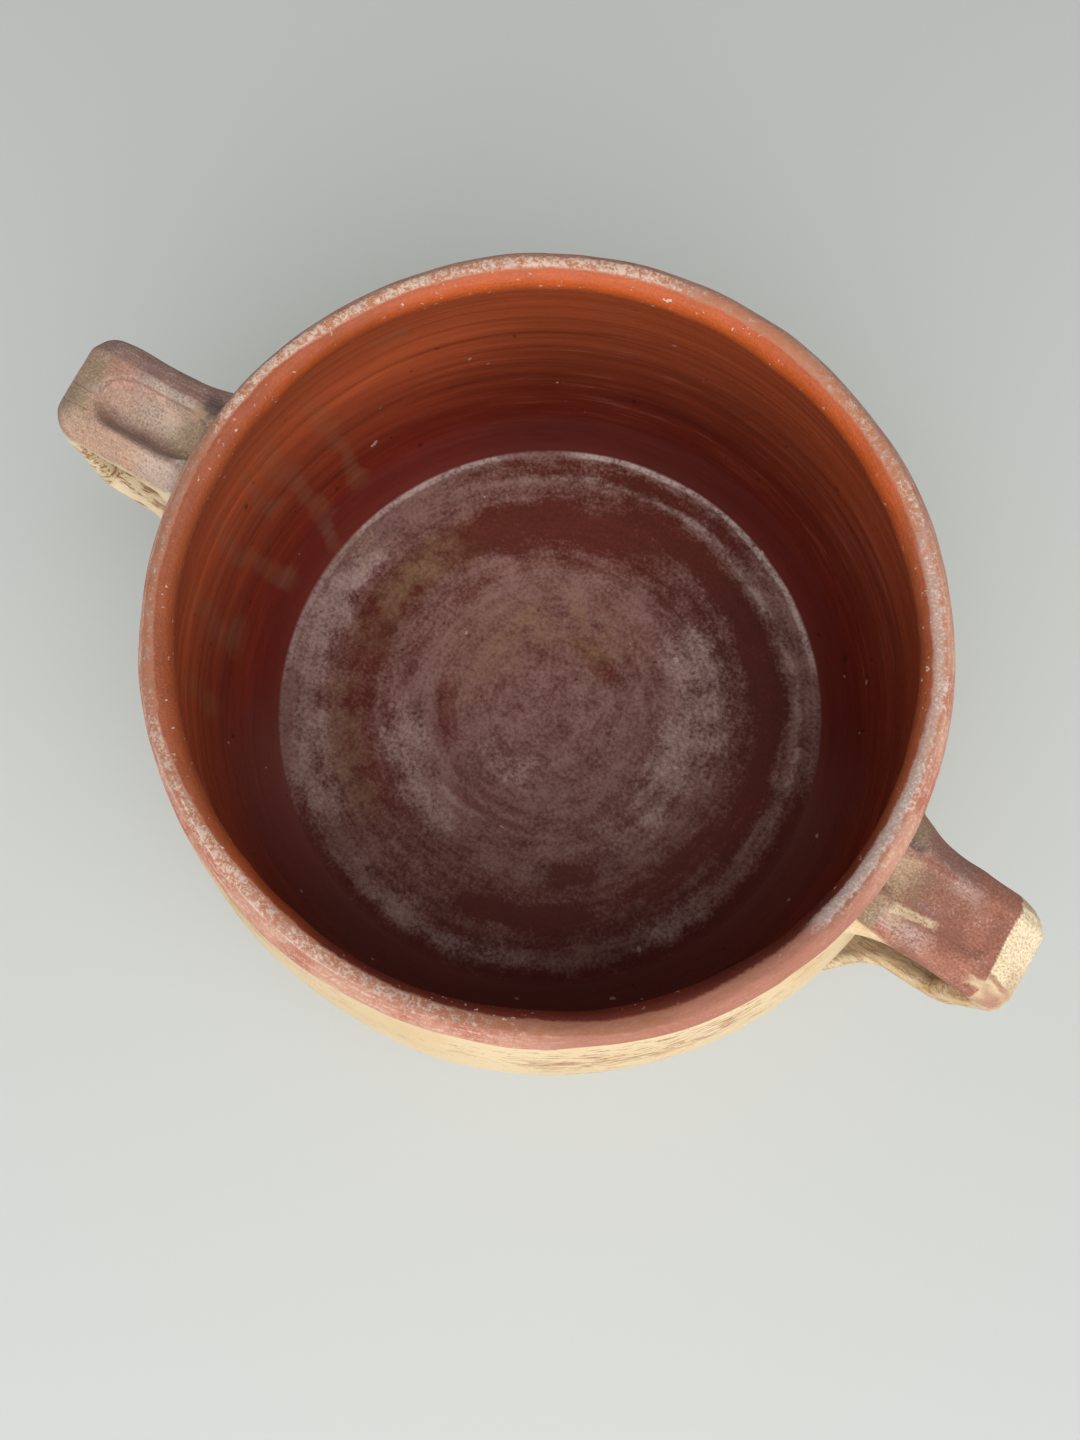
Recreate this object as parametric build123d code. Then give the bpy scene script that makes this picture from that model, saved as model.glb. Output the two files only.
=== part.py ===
"""Two-handled earthenware olla, built from the clay pieces that a potter lutes together.

Millimetres, +Z up. The foot stands on the XY plane, the pot's axis is Z and the handles lie along X.
"""
import os
from math import sqrt

from build123d import *

# Body: radii are from the pot's axis, heights from the foot
RIM_HEIGHT = 138.0
LIP_RADIUS = 110.0
BELLY_RADIUS = 127.0
BELLY_HEIGHT = 52.0
FOOT_RADIUS = 104.0
WALL_THICKNESS = 7.0
FLOOR_THICKNESS = 9.0
HEEL_ROUND = 9.0
KNUCKLE_ROUND = 7.0

# Rolled lip: its width across, its depth down to the neck and the roll of its edge
LIP_WIDTH = 9.0
LIP_DEPTH = 11.0
LIP_ROLL = 5.0
THROAT_DROP = 6.5
NECK_INSET = 1.5

# Seams where one band of clay was raised on the last
BASE_SEAM_HEIGHT = 22.0

# Strap handles: the loop is measured over the outside of the strap, its standoff from the belly
LEFT_STANDOFF = 38.5
RIGHT_STANDOFF = 34.0
HANDLE_DROP = 2.0
LOOP_HEIGHT = 58.0
LOOP_LEAN = 5.0
LOOP_SLOPE = 14.0
BEND_RADIUS = 14.0
LEFT_STRAP_WIDTH = 33.5
RIGHT_STRAP_WIDTH = 30.0
STRAP_THICKNESS = 11.0
STRAP_EDGE_ROUND = 4.0
ROOT_WIDTH = 43.0
UPPER_FLARE = 20.0
LOWER_FLARE = 14.0
ROOT_SINK = 4.0
LUTE_THICKNESS = 8.0
LEFT_SKEW = 2.8
RIGHT_SKEW = 2.0

# Thumb scoops pressed into the tops of the straps; the left one lies off the strap's middle
SCOOP_WIDTH = 18.0
LEFT_SCOOP_DEPTH = 4.5
RIGHT_SCOOP_DEPTH = 1.5
SCOOP_END_MARGIN = 15.0
LEFT_SCOOP_SHIFT = 1.5
RIGHT_SCOOP_SHIFT = 0.0

# Places that follow from the sizes above
neck_height = RIM_HEIGHT - LIP_DEPTH
neck_radius = LIP_RADIUS - NECK_INSET
throat_radius = LIP_RADIUS - LIP_WIDTH
crest_radius = LIP_RADIUS - LIP_WIDTH / 2
lip_edge_height = RIM_HEIGHT - LIP_ROLL
inner_belly_radius = BELLY_RADIUS - WALL_THICKNESS
foot_inset = BELLY_RADIUS - FOOT_RADIUS
lower_arc_radius = (foot_inset**2 + BELLY_HEIGHT**2) / (2 * foot_inset)
lower_arc_reach = sqrt(lower_arc_radius**2 - (BELLY_HEIGHT - FLOOR_THICKNESS) ** 2)
floor_radius = inner_belly_radius - lower_arc_radius + lower_arc_reach
strap_top = neck_height - HANDLE_DROP
strap_bottom = strap_top - LOOP_HEIGHT


def turned(face):
    """Solid of revolution about the pot's axis from a face drawn in radius and height."""
    return revolve(Plane.XZ * face, Axis.Z)


def outer_wall(growth=0.0):
    """Outside of the wall as two arcs that meet upright at the belly, pushed out by growth."""
    belly = (BELLY_RADIUS + growth, BELLY_HEIGHT)
    return [
        TangentArc(belly, (FOOT_RADIUS + growth, 0), tangent=(0, -1)),
        TangentArc(belly, (neck_radius + growth, neck_height), tangent=(0, 1)),
    ]


def lip_outside():
    """Underside and rolled edge of the lip, from the neck up to the crest."""
    return [
        Line((neck_radius, neck_height), (LIP_RADIUS, lip_edge_height)),
        EllipticalCenterArc(
            (crest_radius, lip_edge_height), LIP_RADIUS - crest_radius, LIP_ROLL, start_angle=0, arc_size=90
        ),
    ]


def inner_wall():
    """Inside of the pot from the crest over the throat and the belly to the middle of the floor."""
    crest = (crest_radius, RIM_HEIGHT)
    throat = (throat_radius, RIM_HEIGHT - THROAT_DROP)
    belly = (inner_belly_radius, BELLY_HEIGHT)
    knuckle = (floor_radius, FLOOR_THICKNESS)
    return [
        TangentArc(crest, throat, tangent=(-1, 0)),
        TangentArc(belly, throat, tangent=(0, 1)),
        TangentArc(belly, knuckle, tangent=(0, -1)),
        Line(knuckle, (0, FLOOR_THICKNESS)),
    ]


def rounded(face, corner, radius):
    """Face with the one corner nearest to the given point rounded."""
    return fillet(face.vertices().sort_by_distance(corner)[0], radius)


def wall_section():
    """Half section of the whole body, with the heel and the knuckle of the floor rounded."""
    foot = [Line((0, FLOOR_THICKNESS), (0, 0)), Line((0, 0), (FOOT_RADIUS, 0))]
    section = make_face(foot + outer_wall() + lip_outside() + inner_wall())
    section = rounded(section, (FOOT_RADIUS, 0), HEEL_ROUND)
    return rounded(section, (floor_radius, FLOOR_THICKNESS), KNUCKLE_ROUND)


def body_band(section, low, high):
    """Ring of the body between two seam heights."""
    width = BELLY_RADIUS + WALL_THICKNESS
    band = Pos(width / 2, (low + high) / 2) * Rectangle(width, high - low)
    return turned(section & band)


def filled_body(growth=0.0):
    """Body without its hollow, pushed out by growth: what the handles are fitted against."""
    top = [
        Line((neck_radius + growth, neck_height), (neck_radius + growth, RIM_HEIGHT)),
        Line((neck_radius + growth, RIM_HEIGHT), (0, RIM_HEIGHT)),
    ]
    foot = [Line((0, RIM_HEIGHT), (0, 0)), Line((0, 0), (FOOT_RADIUS + growth, 0))]
    return turned(make_face(foot + outer_wall(growth) + top))


def loop_side(reach):
    """Side view of the strap: a rounded loop of even thickness that closes inside the wall."""
    inside = throat_radius - STRAP_THICKNESS
    loop = make_face(
        Polyline(
            (inside, strap_top),
            (reach, strap_top),
            (reach - LOOP_LEAN, strap_bottom + LOOP_SLOPE),
            (inside, strap_bottom),
            close=True,
        )
    )
    outer_corners = loop.vertices().sort_by(Axis.X)[-2:]
    loop = fillet(outer_corners, BEND_RADIUS)
    return loop - offset(loop, -STRAP_THICKNESS)


def strap_plan(reach, width, root_radius, flare):
    """Top view of one arm of the strap, which flares where it is pressed onto the wall."""
    flare_end = root_radius + flare
    half = [
        Line((reach, 0), (reach, width / 2)),
        Line((reach, width / 2), (flare_end, width / 2)),
        TangentArc((flare_end, width / 2), (root_radius, ROOT_WIDTH / 2), tangent=(-1, 0)),
        Line((root_radius, ROOT_WIDTH / 2), (0, ROOT_WIDTH / 2)),
        Line((0, ROOT_WIDTH / 2), (0, 0)),
        Line((0, 0), (reach, 0)),
    ]
    face = make_face(half)
    return face + mirror(face, Plane.XZ)


def strap_arm(reach, width, root_radius, flare, low, high):
    """One arm of the loop between two heights, cut to its flared top view."""
    side = extrude(Plane.XZ * loop_side(reach), ROOT_WIDTH, both=True)
    plan = extrude(Pos(0, 0, low) * strap_plan(reach, width, root_radius, flare), high - low)
    return side & plan


def thumb_scoop(reach, depth, shift):
    """Thumb-shaped tool, a round bar with a ball end, laid along the top of the strap."""
    radius = (SCOOP_WIDTH**2 / 4 + depth**2) / (2 * depth)
    axis_height = strap_top + radius - depth
    ball_place = reach - SCOOP_END_MARGIN - SCOOP_WIDTH / 2
    bar_end = Plane.YZ.offset(throat_radius) * Pos(shift, axis_height) * Circle(radius)
    return extrude(bar_end, ball_place - throat_radius) + Pos(ball_place, shift, axis_height) * Sphere(radius)


def handle(standoff, width, scoop_depth, scoop_shift):
    """One handle on the +X side as its strap, upper luting clay and lower luting clay."""
    reach = BELLY_RADIUS + standoff
    middle = (strap_top + strap_bottom + LOOP_SLOPE) / 2
    upper_arm = strap_arm(reach, width, neck_radius, UPPER_FLARE, middle, strap_top)
    lower_arm = strap_arm(reach, width, BELLY_RADIUS - ROOT_SINK, LOWER_FLARE, strap_bottom, middle)
    loop = upper_arm + lower_arm
    long_edges = loop.edges().filter_by(Axis.Y, reverse=True).filter_by(Axis.Z, reverse=True)
    loop = fillet(long_edges, STRAP_EDGE_ROUND)
    loop = loop - thumb_scoop(reach, scoop_depth, scoop_shift)
    luting_zone = filled_body(LUTE_THICKNESS)
    strap = loop - luting_zone
    lower_lute, upper_lute = ((loop & luting_zone) - filled_body()).solids().sort_by(Axis.Z)
    return strap, upper_lute, lower_lute


def main():
    os.makedirs("parts", exist_ok=True)
    section = wall_section()
    nodes = {
        "base": body_band(section, 0, BASE_SEAM_HEIGHT),
        "lower_wall": body_band(section, BASE_SEAM_HEIGHT, BELLY_HEIGHT),
        "upper_wall": body_band(section, BELLY_HEIGHT, neck_height),
        "rim_coil": body_band(section, neck_height, RIM_HEIGHT),
    }
    sides = {
        "right": (-RIGHT_SKEW, RIGHT_STANDOFF, RIGHT_STRAP_WIDTH, RIGHT_SCOOP_DEPTH, RIGHT_SCOOP_SHIFT),
        "left": (180 + LEFT_SKEW, LEFT_STANDOFF, LEFT_STRAP_WIDTH, LEFT_SCOOP_DEPTH, LEFT_SCOOP_SHIFT),
    }
    for side, (azimuth, *sizes) in sides.items():
        pieces = handle(*sizes)
        for name, piece in zip(("strap", "upper_lute", "lower_lute"), pieces):
            nodes[f"{side}_{name}"] = piece.rotate(Axis.Z, azimuth)
    for name, shape in nodes.items():
        export_step(shape, f"parts/{name}.step")


main()
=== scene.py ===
"""Dresses the two-handled earthenware olla: turned body, rolled lip, strap handles and their luting clay."""
import copy
import functools
import math
import operator

import bmesh
import bpy
from mathutils import Matrix, Vector, noise


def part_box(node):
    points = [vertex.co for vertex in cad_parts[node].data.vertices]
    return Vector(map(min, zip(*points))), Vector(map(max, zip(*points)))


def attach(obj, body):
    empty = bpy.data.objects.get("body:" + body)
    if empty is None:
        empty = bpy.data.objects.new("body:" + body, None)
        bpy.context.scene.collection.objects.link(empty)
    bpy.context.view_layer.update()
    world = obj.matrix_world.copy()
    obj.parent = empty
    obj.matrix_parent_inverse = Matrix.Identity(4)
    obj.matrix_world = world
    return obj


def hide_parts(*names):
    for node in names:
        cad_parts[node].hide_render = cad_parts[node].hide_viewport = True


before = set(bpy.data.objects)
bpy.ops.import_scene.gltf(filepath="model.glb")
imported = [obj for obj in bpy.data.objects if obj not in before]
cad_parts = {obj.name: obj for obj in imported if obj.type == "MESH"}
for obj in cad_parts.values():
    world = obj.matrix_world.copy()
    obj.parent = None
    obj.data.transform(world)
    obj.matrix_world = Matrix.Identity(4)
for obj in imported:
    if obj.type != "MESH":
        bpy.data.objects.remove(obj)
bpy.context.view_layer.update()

bl_info = {
    "name": "Earthenware Olla",
    "version": (1, 0, 0),
    "blender": (4, 5, 0),
    "location": "View3D > Sidebar > Olla",
    "description": "Builds a hand-turned pot with two strap handles, slipped outside and glazed inside",
    "category": "Add Mesh",
}

MM = 0.001

# Height within which a place counts as on the seam under the lip
SEAM_SLACK = MM / 10

LIP_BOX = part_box("rim_coil")
BELLY_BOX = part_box("lower_wall")


def linear(red, green, blue):
    """Scene colour of a screen colour given from 0 to 255."""
    levels = [value / 255 for value in (red, green, blue)]
    return tuple(v / 12.92 if v <= 0.04045 else ((v + 0.055) / 1.055) ** 2.4 for v in levels) + (1.0,)


def length(name, description, default):
    """Size in metres that a user may change."""
    return bpy.props.FloatProperty(
        name=name, description=description, default=default, precision=5, unit="LENGTH", subtype="DISTANCE"
    )


def turn(name, description, degrees):
    """Angle that a user may change."""
    return bpy.props.FloatProperty(
        name=name, description=description, default=math.radians(degrees), unit="ROTATION", subtype="ANGLE"
    )


def portion(name, description, default):
    """Property that holds a part of a whole."""
    return bpy.props.FloatProperty(
        name=name, description=description, default=default, min=0, max=1, subtype="FACTOR"
    )


def tone(name, description, red, green, blue):
    """Colour that a user may change."""
    return bpy.props.FloatVectorProperty(
        name=name, description=description, default=linear(red, green, blue), size=4, min=0, max=1,
        subtype="COLOR",
    )


class OllaBody(bpy.types.PropertyGroup):
    """Sizes of the turned body and its lip."""

    rim_height: length("Rim height", "Height of the lip's crest", LIP_BOX[1].z)
    lip_radius: length("Lip radius", "Outermost radius of the lip", LIP_BOX[1].x)
    neck_height: length("Neck height", "Height of the seam under the lip", LIP_BOX[0].z)
    neck_inset: length("Neck inset", "How far the neck lies inside the lip's edge", 1.5 * MM)
    lip_width: length("Lip width", "Width of the lip from its edge to the throat", 9 * MM)
    lip_roll: length("Lip roll", "Height of the lip's rolled edge", 5 * MM)
    throat_drop: length("Throat drop", "Depth of the throat below the crest", 6.5 * MM)
    belly_radius: length("Belly radius", "Largest radius of the body", BELLY_BOX[1].x)
    belly_height: length("Belly height", "Height of the largest radius", BELLY_BOX[1].z)
    foot_radius: length("Foot radius", "Radius at which the wall would meet the ground", 104 * MM)
    wall: length("Wall", "Thickness of the wall", 7 * MM)
    floor: length("Floor", "Thickness of the floor", 9 * MM)
    heel_round: length("Heel round", "Rounding of the foot's edge", 9 * MM)
    knuckle_round: length("Knuckle round", "Rounding between the floor and the wall inside", 7 * MM)
    ring_depth: length("Ring depth", "Depth of the throwing rings", 0.32 * MM)
    ring_spacing: length("Ring spacing", "Usual distance between throwing rings", 6.5 * MM)
    ring_tilt: length("Ring tilt", "How far the throwing rings climb from side to side", 3.5 * MM)
    spiral_depth: length("Spiral depth", "Depth of the finger spiral on the floor", 0.22 * MM)
    spiral_pitch: length("Spiral pitch", "Width of one turn of the finger spiral", 10 * MM)
    crust_height: length("Crust height", "Height of the glaze crust along the lip", 0.5 * MM)


class OllaHandles(bpy.types.PropertyGroup):
    """Sizes of the two strap handles."""

    right_reach: length("Right reach", "Distance from the pot's axis to the end of the right loop", 161 * MM)
    left_reach: length("Left reach", "Distance from the pot's axis to the end of the left loop", 165.5 * MM)
    right_azimuth: turn("Right azimuth", "Direction of the right handle", -1.8)
    left_azimuth: turn("Left azimuth", "Direction of the left handle", 182.7)
    right_width: length("Right width", "Width of the right strap", 31 * MM)
    left_width: length("Left width", "Width of the left strap", 34 * MM)
    thickness: length("Thickness", "Thickness of the straps", 11 * MM)
    edge_round: length("Edge round", "Rounding of the strap's long edges", 3 * MM)
    right_far_fall: length("Right far fall", "Fall of the right strap's face to its far edge", 4.5 * MM)
    left_far_fall: length("Left far fall", "Fall of the left strap's face to its far edge", 3.4 * MM)
    right_near_fall: length("Right near fall", "Fall of the right strap's face to its near edge", 2.2 * MM)
    left_near_fall: length("Left near fall", "Fall of the left strap's face to its near edge", 5.5 * MM)
    right_undercut: portion("Right undercut", "Part of the right strap's near half cut away below", 0.2)
    left_undercut: portion("Left undercut", "Part of the left strap's near half cut away below", 0.0)
    lower_swell: portion("Lower swell", "Part by which the lower arms are wider to the near side", 0.15)
    right_slant: length("Right slant", "How much further the right loop reaches at its far edge", -1.8 * MM)
    left_slant: length("Left slant", "How much further the left loop reaches at its far edge", 2.6 * MM)
    top: length("Top", "Height of the strap's upper side", 125 * MM)
    loop_height: length("Loop height", "Height of the loop over the outside of the strap", 58 * MM)
    lean: length("Lean", "How far the loop's end leans back to its foot", 5 * MM)
    slope: length("Slope", "How far the lower arm drops towards the wall", 14 * MM)
    bend: length("Bend", "Outer radius of the loop's two bends", 14 * MM)
    root_width: length("Root width", "Width where the strap is pressed onto the wall", 46 * MM)
    upper_flare: length("Upper flare", "Length over which the upper arm widens", 20 * MM)
    lower_flare: length("Lower flare", "Length over which the lower arm widens", 14 * MM)
    right_scoop: length("Right scoop", "Depth of the right strap's thumb scoop", 1.0 * MM)
    left_scoop: length("Left scoop", "Depth of the left strap's thumb scoop", 5.5 * MM)
    scoop_shift: length("Scoop shift", "Offset of the scoops to the strap's near side", 1.5 * MM)
    scoop_width: length("Scoop width", "Width of the thumb scoops", 16.5 * MM)
    scoop_end: length("Scoop end", "Distance from the scoop to the end of the loop", 15 * MM)
    scoop_nose: length("Scoop nose", "Length of the scoop's rounded end", 12 * MM)
    lumps: length("Lumps", "Unevenness of the hand-pulled clay", 0.45 * MM)


class OllaColours(bpy.types.PropertyGroup):
    """Colours of the clay, slip, glaze and what has settled on them, and of the shade and light painted on
    them.
    """

    cream: tone("Cream slip", "Slip on the outside", 217, 194, 156)
    ochre: tone("Ochre", "Darker clouds in the slip", 208, 174, 126)
    red_clay: tone("Red clay", "Fired clay where the slip has flaked off", 164, 92, 60)
    amber: tone("Amber glaze", "Thin glaze on the lip", 188, 86, 34)
    russet: tone("Russet glaze", "Glaze on the upper wall inside", 178, 86, 47)
    maroon: tone("Maroon glaze", "Thick glaze low on the wall", 90, 25, 15)
    drip: tone("Drip", "Greenish runs of thick glaze", 148, 122, 90)
    floor_glaze: tone("Floor glaze", "Bare glaze on the floor", 98, 29, 15)
    # Lime also paints the pale streaks of sheen on the wall.
    lime: tone("Lime haze", "Hard-water haze on the floor", 154, 125, 117)
    lime_white: tone("Lime edge", "Thickest haze", 214, 196, 188)
    olive: tone("Olive haze", "Haze with a tinge of the glaze", 134, 104, 74)
    crust: tone("Crust", "Blistered edge of the glaze on the lip", 226, 200, 180)
    crust_dark: tone("Dark crust", "Clay between the blisters on the lip", 184, 116, 82)
    rose: tone("Rose", "Worn slip on the lip's outside", 192, 138, 116)
    rose_dark: tone("Dark rose", "Red slip between the scratches on the lip", 175, 107, 85)
    ash: tone("Ash", "Grey bloom on lip and handles", 178, 156, 146)
    # Bloom also paints highlights along the left scoop's rims.
    bloom: tone("Bloom", "Pale bloom on the handles", 206, 190, 180)
    slip_red: tone("Red slip", "Red-brown slip on the right strap", 168, 110, 89)
    slip_deep: tone("Deep slip", "Darker clouds in the red slip", 138, 88, 70)
    slip_grey: tone("Grey slip", "Weathered slip on the left strap", 156, 130, 116)
    slip_pink: tone("Pink slip", "Rosy parts of the weathered slip", 190, 153, 126)
    # Dark slip also paints shade: on the straps' far facets, on the left scoop's near wall and along the
    # crease round its far rim.
    slip_dark: tone("Dark slip", "Purple-brown slip on the straps' far sides", 134, 100, 93)
    crevice_shadow: tone("Soot", "Darkest places beside the lip", 72, 60, 58)
    # Painted shadow: the darkest places, in the crevices where the straps' far roots meet the wall beside the
    # lip.
    buff: tone("Buff", "Bare clay in the scoop and on the roots", 182, 150, 122)
    # Moss also paints the shadow on the right strap's near root.
    moss_and_shade: tone("Moss", "Olive-grey clay on the straps", 140, 124, 92)
    # Painted shade inside the loops, where the strap above shades the lower arm.
    loop_shade: tone("Umber", "Dusty clay inside the loops", 134, 104, 72)
    # Chalk also lightens the left strap's bare clay: painted light.
    chalk_and_light: tone("Chalk", "Rubbed clay at the end of the right strap", 246, 230, 196)
    pit: tone("Pit", "Burst bubbles in the glaze", 40, 14, 12)


class OllaStage(bpy.types.PropertyGroup):
    """Ground, lamps and camera."""

    ground: tone("Ground", "Colour of the floor under the pot", 195, 198, 195)
    # The ground's paling is painted light, lighter towards one side of the pot.
    ground_light_fall: portion("Ground fall", "Part by which the ground pales over 100 mm", 0.03)
    ground_light_way: turn("Ground way", "Direction in which the ground pales", 285)
    ground_reach: length("Ground reach", "How far from the pot the ground goes on paling", 0.4)
    ground_half: length("Ground half", "Half the width of the ground", 4.0)
    sky: bpy.props.FloatProperty(name="Sky", description="Strength of the even light", default=0.34, min=0)
    key: bpy.props.FloatProperty(
        name="Key lamp", description="Power of the large soft lamp", default=100, min=0, subtype="POWER",
        unit="POWER",
    )
    key_width: length("Key width", "Width of the large soft lamp", 4.0)
    key_aim: length("Key aim", "Height on the pot's axis at which the lamp points", 0.1)
    key_place: bpy.props.FloatVectorProperty(
        name="Key place", description="Place of the lamp, turned with the camera", default=(0.2, -1.4, 1.75),
        size=3, unit="LENGTH", subtype="XYZ",
    )
    sensor: bpy.props.FloatProperty(
        name="Sensor", description="Width of the camera's sensor in millimetres", default=36, unit="CAMERA"
    )
    camera_out: length("Camera out", "Distance of the camera from the pot's axis", 69.96 * MM)
    camera_up: length("Camera up", "Height of the camera above the lip", 279.95 * MM)
    camera_turn: turn("Camera turn", "Azimuth of the camera about the pot", 36.1)
    camera_pitch: turn("Camera pitch", "Angle at which the camera looks down", 80.9)
    camera_yaw: turn("Camera yaw", "Turn of the camera to its side", -3.2)
    camera_roll: turn("Camera roll", "Roll of the camera about its view", -6.4)
    lens: bpy.props.FloatProperty(
        name="Lens", description="Focal length for that sensor", default=27.04, unit="CAMERA"
    )


# Order, size and direction of the ways in which the turned pot is out of round at its lip
OUT_OF_ROUND = ((0, -0.4 * MM, 0.0), (2, 0.9 * MM, -0.12), (3, 0.29 * MM, -0.06))

# Depth of the flat on the belly's near side, its azimuth and its half width in radians
BELLY_FLAT = (1.4 * MM, 4.555, 0.5)

# Heights over which that flat fades out above the foot and below the neck
FLAT_FADES = (30 * MM, 20 * MM)

# Azimuths in radians to which the throwing rings climb, and where the finger spiral is faintest
RING_CLIMB = 1.0
SPIRAL_FAINT = 1.57


def ease(low, high, value):
    """Smooth step from 0 at low to 1 at high."""
    share = min(1.0, max(0.0, (value - low) / (high - low)))
    return share * share * (3 - 2 * share)


def sweep(bm, geometry, steps, step=(0, 0, 0), centre=(0, 0, 0), axis=(0, 1, 0), angle=0.0):
    """Pulls geometry along a straight run or round an arc, and gives back its far end."""
    made = bmesh.ops.spin(
        bm, geom=geometry, cent=centre, axis=axis, dvec=step, angle=angle, steps=steps, use_merge=False
    )
    return made["geom_last"]


class Section:
    """Line in radius and height, drawn by pulling one vertex along straight runs and arcs."""

    def __init__(self, bm, radius, height):
        self.bm = bm
        self.first = bm.verts.new((radius, 0, height))
        self.tip = self.first

    def run(self, radius, height, steps):
        """Straight run to a place."""
        step = (Vector((radius, 0, height)) - self.tip.co) / steps
        self.end(sweep(self.bm, [self.tip], steps, step=step))

    def bow(self, radius, height, heading, steps):
        """Arc to a place, which leaves the last one in the given heading."""
        start = self.tip.co.copy()
        chord = Vector((radius, 0, height)) - start
        ahead = Vector((heading[0], 0, heading[1])).normalized()
        inward = (chord - ahead * chord.dot(ahead)).normalized()
        reach = chord.length_squared / (2 * chord.dot(inward))
        self.end(
            sweep(
                self.bm, [self.tip], steps, centre=start + inward * reach, axis=ahead.cross(inward),
                angle=2 * ahead.angle(chord),
            )
        )

    def end(self, geometry):
        """Takes the far end of the last pull as the new tip."""
        self.tip = next(part for part in geometry if isinstance(part, bmesh.types.BMVert))

    def close(self):
        """Joins the tip to the start."""
        self.bm.edges.new((self.tip, self.first))


def turn_round(bm, segments):
    """Turns the drawn section into a closed skin about the pot's axis."""
    bmesh.ops.spin(
        bm, geom=bm.verts[:] + bm.edges[:], cent=(0, 0, 0), axis=(0, 0, 1), dvec=(0, 0, 0), angle=math.tau,
        steps=segments, use_merge=True,
    )
    bmesh.ops.remove_doubles(bm, verts=bm.verts, dist=MM / 1000)
    bmesh.ops.recalc_face_normals(bm, faces=bm.faces)
    bm.normal_update()


def lower_arc(size):
    """Radius of the arc between the belly and the foot."""
    inset = size.belly_radius - size.foot_radius
    return (inset**2 + size.belly_height**2) / (2 * inset)


def rounded_foot(size, belly, base, round_radius):
    """Where a rounding leaves a flat base, and where it joins the arc that comes down from the belly."""
    arc = lower_arc(size)
    drop = size.belly_height - base - round_radius
    out = math.sqrt((arc - round_radius) ** 2 - drop**2)
    middle = belly - arc + out
    share = arc / (arc - round_radius)
    return middle, (belly - arc + out * share, size.belly_height - drop * share)


def throat_place(size):
    """Radius and height of the throat."""
    return size.lip_radius - size.lip_width, size.rim_height - size.throat_drop


def inner_seam(size):
    """Radius of the inner wall at the seam under the lip, and the wall's heading there."""
    belly = size.belly_radius - size.wall
    throat_radius, throat_height = throat_place(size)
    inset, rise = belly - throat_radius, throat_height - size.belly_height
    arc = (inset**2 + rise**2) / (2 * inset)
    climb = size.neck_height - size.belly_height
    out = math.sqrt(arc**2 - climb**2)
    return belly - arc + out, (-climb, out)


def out_of_round(size, azimuth, height):
    """How far the wall strays from a true circle: most at the lip, none at the foot, and in at the flat."""
    lift = ease(0, size.rim_height, height)
    stray = lift * sum(reach * math.cos(order * (azimuth - phase)) for order, reach, phase in OUT_OF_ROUND)
    depth, middle, half = BELLY_FLAT
    flat = ease(half, half / 3, abs(math.remainder(azimuth - middle, math.tau)))
    foot_fade, neck_fade = FLAT_FADES
    inward = depth * flat * ease(0, foot_fade, height)
    return stray - inward * ease(size.neck_height, size.neck_height - neck_fade, height)


def push_out(size, co):
    """Moves a place outwards or inwards by the pot's out-of-roundness."""
    azimuth = math.atan2(co.y, co.x)
    stray = out_of_round(size, azimuth, co.z)
    return co + Vector((math.cos(azimuth), math.sin(azimuth), 0)) * stray


def settle(moves):
    """Puts each vertex at its new place, once the places of all of them are known."""
    for vert, place in moves.items():
        vert.co = place


def finish_piece(name, bm, materials, slot, *nodes):
    """Makes the piece's object, smooth and at the origin, and ties it to the frame."""
    for face in bm.faces:
        face.smooth = True
    mesh = bpy.data.meshes.new(name)
    bm.to_mesh(mesh)
    bm.free()
    for material in materials:
        mesh.materials.append(material)
    piece = bpy.data.objects.new(name, mesh)
    bpy.context.scene.collection.objects.link(piece)
    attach(piece, "root")
    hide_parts(*nodes)
    return piece


def operation(name, swapped=False):
    """Operator method that adds one Math node."""

    def run(self, other):
        first, second = (other, self) if swapped else (self, other)
        return self.finish.math(name, first, second)

    return run


class Value:
    """Socket that takes part in Python sums."""

    def __init__(self, finish, socket):
        self.finish = finish
        self.socket = socket

    __add__ = operation("ADD")
    __radd__ = operation("ADD", True)
    __sub__ = operation("SUBTRACT")
    __rsub__ = operation("SUBTRACT", True)
    __mul__ = operation("MULTIPLY")
    __rmul__ = operation("MULTIPLY", True)
    __truediv__ = operation("DIVIDE")
    __pow__ = operation("POWER")
    __and__ = operation("MINIMUM")
    __or__ = operation("MAXIMUM")


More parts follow.
